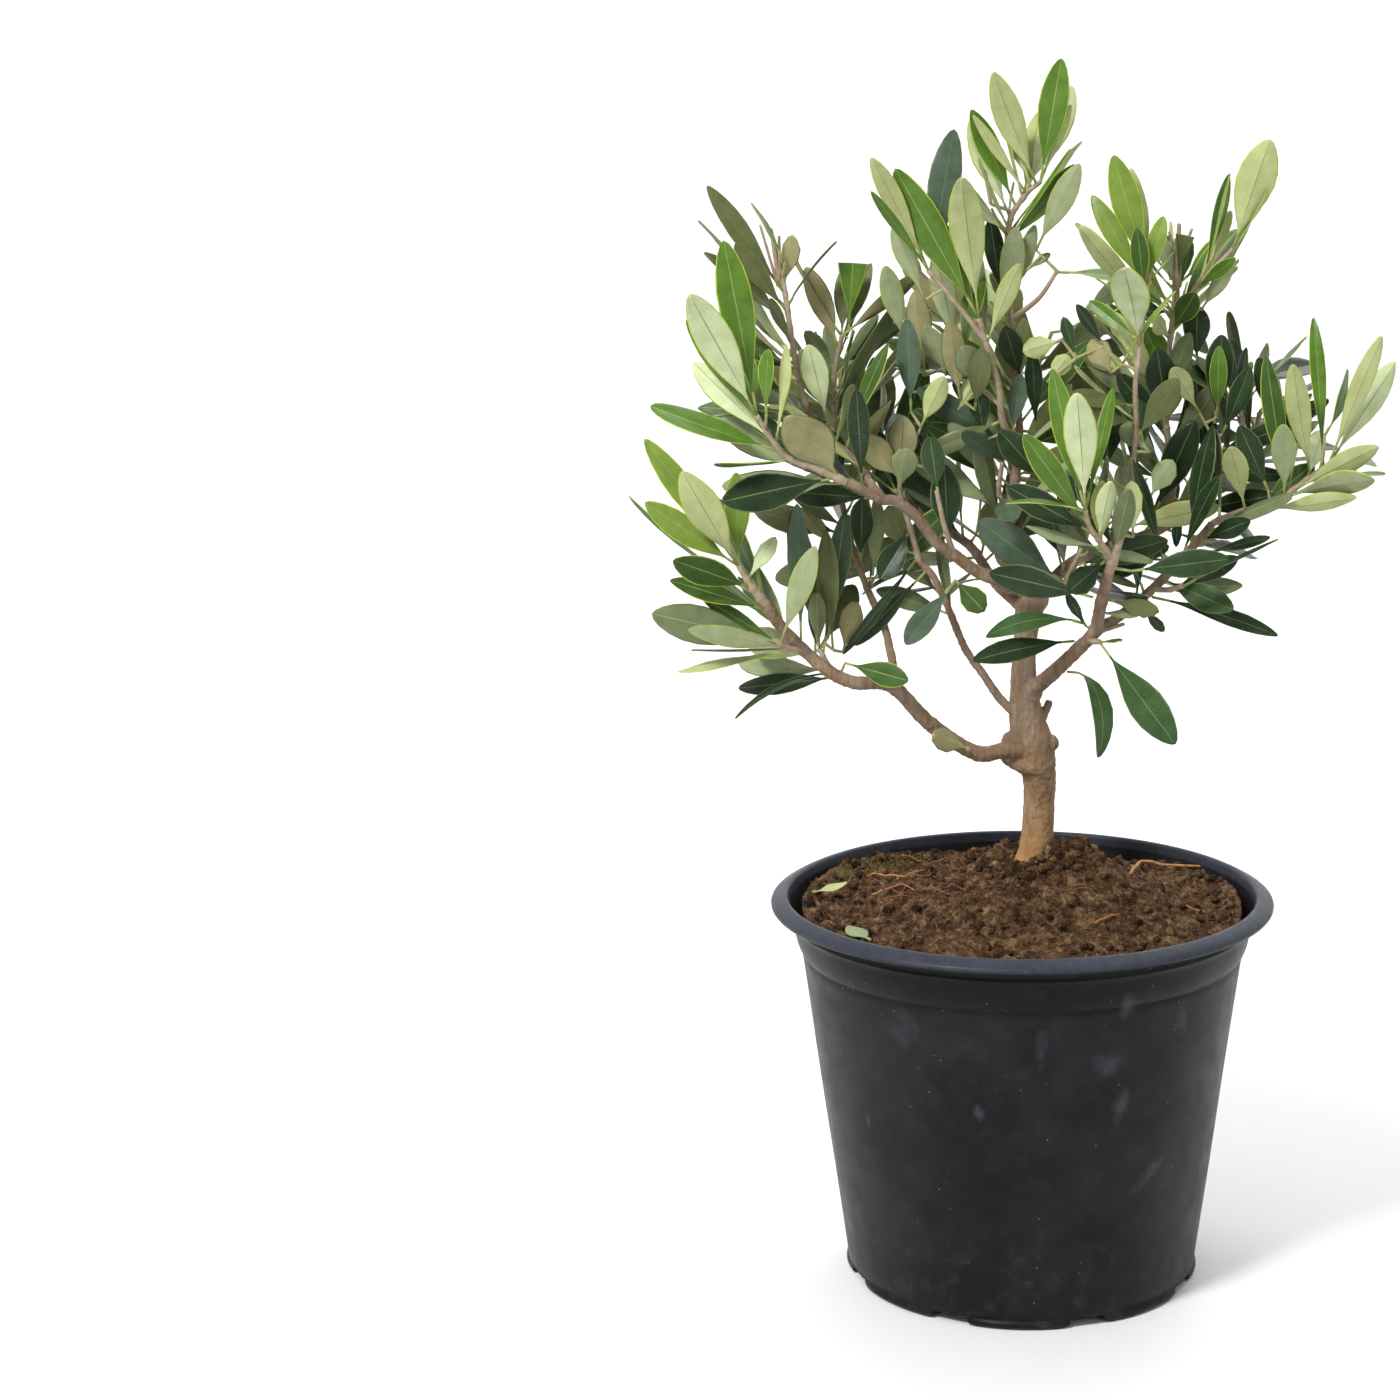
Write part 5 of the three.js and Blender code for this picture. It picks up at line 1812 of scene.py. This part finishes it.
def smear(surface, pixel, size, lean):
    """1 in the middle of a smear, 0 outside it."""
    spot = on_pot(*pixel)
    sockets = {"Vector": surface.place, "Location": spot * MM,
               "Rotation": (0, math.radians(lean), math.atan2(spot.x, -spot.y)),
               "Scale": (size[0] * MM, SMEAR_REACH, size[1] * MM)}
    inside = surface.node("Mapping", sockets, vector_type="TEXTURE").outputs["Vector"]
    length = surface.node("VectorMath", {0: inside}, operation="LENGTH").outputs["Value"]
    ragged = surface.times(surface.noise(110, 5, 0.65), 1.5)
    reach = surface.times(surface.maths("ADD", length, ragged), 0.5)
    return surface.ramp(reach, (0.42, 1), (0.72, 0))


def pot_surface():
    surface = Surface("pot_plastic", "#131418", 0.42, 0.15)
    cloudy = surface.patches(0.42, 0.7, 30, 5, 0.6)
    mixed = surface.mix(cloudy, "#0d0e12", "#1b1b1e")
    up = surface.height(0.140, 0.174)
    panel = surface.ramp(up, (0.17, 0), (0.23, 0.9), (0.72, 0.9), (0.80, 0))
    mixed = surface.mix(panel, mixed, "#060709")
    # Painted reflection: the top of the rim and lip is tinted a paler bluish grey, in noisy patches.
    rim_sheen = surface.ramp(up, (0.84, 0), (0.87, 0.75), (0.95, 0.9), (0.985, 1))
    rim_sheen_patches = surface.ramp(surface.noise(260, 6, 0.7), (0.3, 0.55), (0.62, 1))
    mixed = surface.tint(mixed, rim_sheen, rim_sheen_patches, "#3a3e49")
    smears = 0
    for row in SMEARS:
        smears = surface.maths("MAXIMUM", smears, smear(surface, *row))
    streaky = surface.ramp(surface.noise(75, 6, 0.65), (0.36, 0.1), (0.62, 1))
    smeared = surface.times(smears, streaky)
    mixed = surface.tint(mixed, smeared, 0.7, "#44474c")
    dust = surface.patches(0.5, 0.74, 95, 8, 0.7)
    low = surface.maths("ADD", surface.times(surface.height(0.06, 0.0), 0.3), 0.1)
    mixed = surface.tint(mixed, dust, low, "#4c463f")
    specks = surface.specks(0.05, 0.08, 200)
    sparse = surface.patches(0.5, 0.6, 60, 2)
    surface.put("Base Color", surface.tint(mixed, surface.times(specks, sparse), 0.5, "#8d857a"))
    dull = surface.ramp(surface.noise(90, 4), (0.3, 0.36), (0.75, 0.5))
    surface.put("Roughness", surface.maths("ADD", dull, surface.times(smeared, 0.2)))
    surface.bump(surface.noise(420, 4), 0.00008, 0.5)
    return surface.material


# Soil and what lies on it

SOIL_RINGS = 96
SOIL_COLUMNS = 260
SOIL_RADIUS = wall_radius(149) - WALL_THICKNESS
SOIL_FOOT, SOIL_WALL = 150, 155
CLOD_RATE, CLOD_HEIGHT = 0.16, 3.2
CLUMP_RATE, CLUMP_HEIGHT = 0.42, 2.8
CELL_RATE, CELL_DEPTH = 0.28, 2.4
CELL_FLOOR = 0.7
CRUMBLE_SINK = 0.4
TUCKED_RINGS = 3
TUCK = 1.9
TUCK_POWER = 30
RING_POWER = 0.92


def soil_level(share, x, y):
    """Height of the smooth mound, as in the solids."""
    landing = TRUNK_FOOT.z - GAP
    mound = SOIL_EDGE + (landing - SOIL_EDGE) * (0.5 + 0.5 * math.cos(math.pi * share)) ** 0.8
    lumps = math.sin(x * 0.11 + 2) * math.cos(y * 0.13 - 1) + math.sin((x - y) * 0.07)
    return mound + SOIL_LUMP * lumps * share * (1 - share) * 4


def crumble(x, y):
    """Clods, clumps and the gaps between them."""
    spot = Vector((x, y, 0))
    clods = abs(noise.noise(spot * CLOD_RATE)) * CLOD_HEIGHT
    clumps = noise.turbulence(spot * CLUMP_RATE, 5, True, noise_basis="PERLIN_ORIGINAL") * CLUMP_HEIGHT
    cells = noise.voronoi(spot * CELL_RATE)[0][0]
    return clods + clumps - CELL_DEPTH * min(CELL_FLOOR, cells) - CRUMBLE_SINK


# Heaps against the wall: turn, reach round it, height. The one beside the trunk: how far right
# and back of it, reach, height

HEAPS = [(150, 32, 8.0), (18, 30, 6.5), (200, 26, 5.0), (95, 30, 2.5)]
HEAP_REACH = 13
TRUNK_HEAP = (16, -9, 15, 12)
MOUND_ROUNDS = 18


def heaped(x, y):
    around = math.degrees(math.atan2(y, x))
    near = math.exp(-((SOIL_RADIUS - math.hypot(x, y)) / HEAP_REACH) ** 2)
    total = 0
    for middle, reach, height in HEAPS:
        off = (around - middle + 180) % 360 - 180
        total += height * near * math.exp(-(off / reach) ** 2)
    right, back, reach, height = TRUNK_HEAP
    away = math.hypot(x - TRUNK_FOOT.x - right, y - TRUNK_FOOT.y - back)
    return total + height * math.exp(-(away / reach) ** 2)


def soil_spot(x, y):
    """Height of the soil surface above a spot of the pot."""
    low, high = 0.0, 1.0
    for _ in range(MOUND_ROUNDS):
        share = (low + high) / 2
        ring = LANDING_RADIUS + (SOIL_RADIUS - LANDING_RADIUS) * share
        cx, cy = TRUNK_FOOT.x * (1 - share), TRUNK_FOOT.y * (1 - share)
        if math.hypot(x - cx, y - cy) > ring:
            low = share
        else:
            high = share
    return soil_level((low + high) / 2, x, y) + crumble(x, y) + heaped(x, y)


def on_soil(x, y, lift=0):
    return Vector((x, y, soil_spot(x, y) + lift))


def make_soil():
    turns = [2 * math.pi * k / SOIL_COLUMNS for k in range(SOIL_COLUMNS)]
    spots = [(*polar(SOIL_RADIUS, turn), height) for height in (SOIL_FOOT, SOIL_WALL)
             for turn in turns]
    for ring in range(SOIL_RINGS, 0, -1):
        share = ring / SOIL_RINGS
        tuck = TUCK * share ** TUCK_POWER if ring > SOIL_RINGS - TUCKED_RINGS else 0
        half = math.pi / SOIL_COLUMNS * (ring % 2)
        radius = SOIL_RADIUS * share ** RING_POWER + tuck
        spots += [on_soil(*polar(radius, turn + half)) for turn in turns]
    spots += [(0, 0, SOIL_FOOT), on_soil(0, 0)]
    shape = Shape()
    shape.add(spots, ring_faces(SOIL_RINGS + 2, SOIL_COLUMNS), 0)
    return shape.object("soil_bed", [soil_surface("soil_bed", "#5d432c", "#150d07", "#9d7f5c")])


def soil_surface(name, colour, darker, lighter):
    surface = Surface(name, colour, 0.95, 0.15)
    grain = surface.noise(150, 8, 0.75)
    mixed = surface.ramp(grain, (0.36, darker), (0.5, colour), (0.68, lighter))
    fine = surface.patches(0.42, 0.6, 700, 4, 0.7)
    mixed = surface.tint(mixed, fine, 0.6, darker)
    flecks = surface.specks(0.07, 0.13, 420)
    surface.put("Base Color", surface.tint(mixed, flecks, 0.4, "#a2876a"))
    surface.bump(surface.noise(600, 6, 0.75), 0.0012, 0.9)
    return surface.material


def ball(rings=5, sides=8):
    """Spots and faces of a ball."""
    spots = []
    for i in range(rings):
        tilt = math.pi * (i + 1) / (rings + 1)
        for k in range(sides):
            a = 2 * math.pi * (k + 0.5 * (i % 2)) / sides
            spots.append(Vector((*polar(math.sin(tilt), a), -math.cos(tilt))))
    return spots + [Vector((0, 0, -1)), Vector((0, 0, 1))], ring_faces(rings, sides)


CRUMBS = 1500
CRUMB_SIZE = (0.6, 2.9)
CRUMB_SINK = 0.25
CRUMB_ROUGHNESS = 0.6
CRUMB_INSET = 1.7
CRUMB_POWER = 2.6
CRUMB_RATE = 2.3
CRUMB_WIDTH = (0.7, 1.1)
CRUMB_HEIGHT = (0.55, 0.9)
ROUND_TRUNK = (11, 22, 1.6)
WALL_BAND = 9
PALE_SHARE = 0.3
CRUMB_SEED = 401


def make_crumbs():
    """Crumbs round the trunk, along the wall and all over."""
    shape = Shape()
    chance = Chance(CRUMB_SEED)
    corners, faces = ball()
    edge = SOIL_RADIUS - CRUMB_INSET
    nearest, band, power = ROUND_TRUNK
    for i in range(CRUMBS):
        angle, draw = chance.between(0, 2 * math.pi), chance.next()
        places = (nearest + band * draw ** power, edge - WALL_BAND * draw ** 2, edge * draw ** 0.5)
        x, y = polar(places[min(i % 4, 2)], angle)
        if i % 4 == 0:
            x, y = TRUNK_FOOT.x + x, TRUNK_FOOT.y + y
        size = chance.next() ** CRUMB_POWER * (CRUMB_SIZE[1] - CRUMB_SIZE[0]) + CRUMB_SIZE[0]
        middle = on_soil(x, y, size * CRUMB_SINK)
        turn = chance.between(0, ROUND)
        spin = Matrix.Rotation(turn, 3, Vector((chance.between(-1, 1), chance.between(-1, 1), 1)))
        stretch = Vector((1, chance.between(*CRUMB_WIDTH), chance.between(*CRUMB_HEIGHT)))
        spots = []
        for corner in corners:
            ray = corner * stretch
            bump = 1 + CRUMB_ROUGHNESS * noise.noise(ray * CRUMB_RATE + Vector((i, 0, 0)))
            spots.append(middle + spin @ ray * size * bump)
        shape.add(spots, faces, 1 if chance.next() < PALE_SHARE else 0)
    surfaces = [soil_surface("soil_crumb", "#4a3421", "#170e07", "#82664a"),
                soil_surface("soil_crumb_pale", "#765a3f", "#38281a", "#ac8f6b")]
    return shape.object("soil_crumbs", surfaces)


# Straws: the pixels that each passes, and its radius. Root fibres lie thickest on the left

STRAWS = [
    ([(1130, 893), (1142, 873), (1200, 875)], 0.9), ([(902, 858), (925, 863)], 0.5),
    ([(868, 884), (905, 892), (925, 886)], 0.5), ([(872, 905), (902, 898), (915, 903)], 0.45),
    ([(1095, 928), (1120, 922)], 0.5), ([(1180, 905), (1205, 912)], 0.4),
]
FIBRES = 44
FIBRE_RADIUS = 0.28
FIBRE_LENGTH = (8, 24)
HAIRS = 110
HAIR_RADIUS = 0.22
HAIR_LENGTH = (4, 13)
STRAW_LIFT, HAIR_LIFT, FIBRE_LIFT = 0.9, 0.9, 0.5
LEFT_SHARE = 0.6
LEFT_TURN = (150, 215)
LEFT_BACK = 20
FIBRE_FROM = 30
FIBRE_BACK = 80
LITTER_SEED = 733
LITTER_POWER = 0.6
LITTER_EDGE = 88
LINE_STEPS = 6
LIE_STEPS = 10
WANDER = 16


def soil_line(pixels, lift):
    """Points on the soil along a line through pixels."""
    corners = [onto(u, v, SOIL_EDGE + 5) for u, v in pixels]
    points = []
    for a, b in zip(corners, corners[1:]):
        points += [a + (b - a) * (k / LINE_STEPS) for k in range(LINE_STEPS)]
    points.append(corners[-1])
    heights = [soil_spot(p.x, p.y) for p in points]
    mean = sum(heights) / len(heights)
    return [Vector((p.x, p.y, max(heights[max(0, i - 2):i + 3]) * 0.6 + mean * 0.4 + lift))
            for i, p in enumerate(points)]


def lying_route(x, y, azimuth, length, chance, lift):
    """Points of a thin thing that lies on the soil."""
    points = []
    for _ in range(LIE_STEPS + 1):
        points.append(on_soil(x, y, lift))
        azimuth += chance.between(-WANDER, WANDER)
        step = polar(length / LIE_STEPS, math.radians(azimuth))
        x, y = x + step[0], y + step[1]
    for _ in range(3):
        inner = [(a + b * 2 + c) / 4 for a, b, c in zip(points, points[1:], points[2:])]
        points = [points[0]] + inner + [points[-1]]
    return points


def frames_of(points):
    """Position, tangent, normal and binormal at each point of a line."""
    out = []
    normal = Vector((0, 0, 1))
    for i, spot in enumerate(points):
        tangent = (points[min(i + 1, len(points) - 1)] - points[max(i - 1, 0)]).normalized()
        normal = (normal - tangent * normal.dot(tangent)).normalized()
        out.append((spot, tangent, normal, tangent.cross(normal)))
    return out


def make_litter():
    """Straws, and root fibres and hairs strewn over the soil."""
    shape = Shape()
    chance = Chance(LITTER_SEED)
    for pixels, radius in STRAWS:
        points = soil_line(pixels, radius + STRAW_LIFT)
        tube(shape, frames_of(points), lambda s, r=radius: r * (1 - 0.4 * s), 7, 0)
    for _ in range(HAIRS):
        turn = chance.between(0, 2 * math.pi)
        x, y = polar(LITTER_EDGE * chance.next() ** LITTER_POWER, turn)
        points = lying_route(x, y, chance.between(0, 360), chance.between(*HAIR_LENGTH), chance,
                             HAIR_LIFT)
        tube(shape, frames_of(points), lambda s: HAIR_RADIUS * (1 - 0.5 * s), 3, 2)
    for _ in range(FIBRES):
        left = chance.next() < LEFT_SHARE
        turn = math.radians(chance.between(*LEFT_TURN) if left else chance.between(0, 360))
        x, y = polar(chance.between(FIBRE_FROM, LITTER_EDGE), turn)
        points = lying_route(x, min(y + LEFT_BACK * left, FIBRE_BACK), chance.between(0, 360),
                             chance.between(*FIBRE_LENGTH), chance, FIBRE_LIFT)
        tube(shape, frames_of(points), lambda s: FIBRE_RADIUS * (1 - 0.6 * s), 5, 1)
    surfaces = [litter_surface("straw", "#ad7a45", "#8a5a30"),
                litter_surface("fibre", "#8a5540", "#6b3f2f"),
                litter_surface("hair", "#5e452f", "#2f2015")]
    return shape.object("straw", surfaces)


def litter_surface(name, colour, other):
    return mottled(name, colour, other, 0.8, 0.5, (0.4, 0.65, 300, 3), (1500, 3), 0.0001)


# Fallen leaves: pixel, azimuth, length, width and colour of the underside, which shows

LITTER_REACH = 84
FALLEN = [((803, 901), 25, 17, 9.5, "pale"), ((850, 936), 130, 16, 10.5, "sage")]
FALLEN_SEED = 55
FALLEN_LIFT = 2
FALLEN_RISE = 4
FALLEN_CURL = -12
FALLEN_FOLD = 0.1


def make_fallen(names, materials):
    shape = Shape()
    chance = Chance(FALLEN_SEED)
    for pixel, azimuth, length, width, under in FALLEN:
        spot = onto(*pixel, SOIL_EDGE + 4)
        spot *= min(1, LITTER_REACH / math.hypot(spot.x, spot.y))
        spot -= heading(azimuth, 0) * length / 2
        foot, direction = on_soil(spot.x, spot.y, FALLEN_LIFT), heading(azimuth, FALLEN_RISE)
        leaf = Leaf(foot, direction, length, width, UNDER, FALLEN_CURL)
        leaf.fold = FALLEN_FOLD
        add_leaf_mesh(shape, leaf, leaf_kinds(names, "olive", under), LEAF_ROWS, chance)
    return shape.object("fallen_leaves", materials)


# Tufts of moss: middle, reach and number of stems

MOSS = [
    ((-80, 44), 9, 130), ((-71, 54), 9, 130), ((-60, 64), 8, 100), ((-84, 32), 7, 80),
    ((-46, 74), 6, 60),
]
MOSS_EDGE = 93
MOSS_STEM = (1.2, 3)
MOSS_RISE = (40, 85)
MOSS_RADIUS = 0.38
MOSS_SINK = 0.4
MOSS_SEED = 91


def make_moss():
    shape = Shape()
    chance = Chance(MOSS_SEED)
    for (middle_x, middle_y), reach, count in MOSS:
        for _ in range(count):
            turn = math.radians(chance.between(0, 360))
            x, y = polar(reach * chance.next() ** LITTER_POWER, turn)
            x, y = middle_x + x, middle_y + y
            if math.hypot(x, y) > MOSS_EDGE:
                continue
            run = (chance.between(0, 360), chance.between(*MOSS_RISE), chance.between(*MOSS_STEM))
            curve = Route(on_soil(x, y, -MOSS_SINK), [run])
            tube(shape, curve.frames(3), lambda s: MOSS_RADIUS * (1.15 - s), 5, 0)
    return shape.object("moss", [litter_surface("moss", "#77743c", "#55542c")])


# Floor and light, in metres

FLOOR_RADIUS = 2.2
WALL_BEND = 1.2
WALL_TOP = 3.2
FLOOR_SIDES = 96
BEND_ROWS = 24


def make_floor():
    """A floor that bends up into a wall all round, like a bowl of backdrop paper."""
    bend = [math.pi / 2 * k / BEND_ROWS for k in range(BEND_ROWS + 1)]
    outline = [(FLOOR_RADIUS * 0.5, 0)]
    outline += [(FLOOR_RADIUS + WALL_BEND * math.sin(a), WALL_BEND * (1 - math.cos(a))) for a in bend]
    outline.append((FLOOR_RADIUS + WALL_BEND, WALL_TOP))
    turns = [2 * math.pi * k / FLOOR_SIDES for k in range(FLOOR_SIDES)]
    spots = [(*polar(r, turn), z) for r, z in outline for turn in turns] + [(0, 0, 0)]
    faces = []
    for row in range(len(outline) - 1):
        for k in range(FLOOR_SIDES):
            a, b = row * FLOOR_SIDES + k, row * FLOOR_SIDES + (k + 1) % FLOOR_SIDES
            faces.append((a, a + FLOOR_SIDES, b + FLOOR_SIDES, b))
    faces += [(len(spots) - 1, k, (k + 1) % FLOOR_SIDES) for k in range(FLOOR_SIDES)]
    shape = Shape()
    shape.add(np.array(spots) / MM, faces, 0)
    shape.object("floor", [Surface("floor", "#e4e4e3", 0.9, 0.1).material])


def area_light(name, place, target, size, power):
    light = bpy.data.lights.new(name, "AREA")
    light.shape = "DISK"
    light.size = size
    light.energy = power
    lamp = bpy.data.objects.new(name, light)
    lamp.location = place
    lamp.rotation_euler = (Vector(target) - Vector(place)).to_track_quat("-Z", "Y").to_euler()
    bpy.context.scene.collection.objects.link(lamp)


# Lights on the plant: place, size, power. Lights that face the wall: turn from behind, power

LIGHTS = [
    ("key", (-0.9, -1.3, 1.7), 0.5, 46), ("fill", (1.8, -1.2, 1.0), 1.2, 4),
    ("back", (0.5, 1.3, 1.5), 1.0, 6),
]
WALL_LIGHTS = [(0, 74), (90, 20), (180, 12), (270, 20)]
WALL_LIGHT_OUT, WALL_LIGHT_HEIGHT, WALL_LIGHT_SIZE = 1.2, 2.6, 2.0
LIT_OUT, LIT_HEIGHT = 2.8, 0.8
CROWN_MIDDLE = (0, 0, 0.32)
AMBIENT = 0.12


def make_light():
    world = bpy.data.worlds.new("studio")
    bpy.context.scene.world = world
    world.use_nodes = True
    backdrop = world.node_tree.nodes["Background"]
    backdrop.inputs["Color"].default_value = (1, 1, 1, 1)
    backdrop.inputs["Strength"].default_value = AMBIENT
    for name, place, size, power in LIGHTS:
        area_light(name, place, CROWN_MIDDLE, size, power)
    for turn, power in WALL_LIGHTS:
        x, y = math.sin(math.radians(turn)), math.cos(math.radians(turn))
        area_light("wall", (WALL_LIGHT_OUT * x, WALL_LIGHT_OUT * y, WALL_LIGHT_HEIGHT),
                   (LIT_OUT * x, LIT_OUT * y, LIT_HEIGHT), WALL_LIGHT_SIZE, power)
    bpy.context.scene.view_settings.view_transform = "Standard"


LEAVES_A_PIECE = 560


def main():
    limbs = grow_limbs()
    crown = Crown(limbs)
    masses = [grow_twigs(*plan, limbs, crown) for plan in FOLIAGE]
    for mass in masses:
        grow_listed(mass, crown, limbs)
    grow_stubs(crown, limbs, masses)
    grow_seen(crown, limbs, masses)
    for mass in masses:
        grow_pairs(mass, crown)
    grow_on_boughs(crown, limbs, masses)
    for grow in (grow_old_leaves, grow_sprigs, grow_tips):
        for mass in masses:
            grow(mass, crown)

    names, materials = leaf_materials()
    lots = math.ceil(len(crown.leaves) / LEAVES_A_PIECE)
    lot = math.ceil(len(crown.leaves) / lots)
    for number in range(lots):
        grown = crown.leaves[number * lot:(number + 1) * lot]
        leaves = make_leaves(names, materials, number + 1, grown)
        dress(leaves, sorted({leaf.mass.name for leaf in grown}))
    dress(make_twigs(crown), [mass.name for mass in masses])
    dress(make_bark(limbs), list(limbs))
    dress(make_pot(), ["pot"])
    for make in (make_soil, make_crumbs, make_litter, make_moss):
        dress(make(), ["soil"])
    dress(make_fallen(names, materials), ["soil"])


def dress(piece, nodes):
    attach(piece, "root")
    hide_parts(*nodes)


make_camera()
make_light()
make_floor()
main()
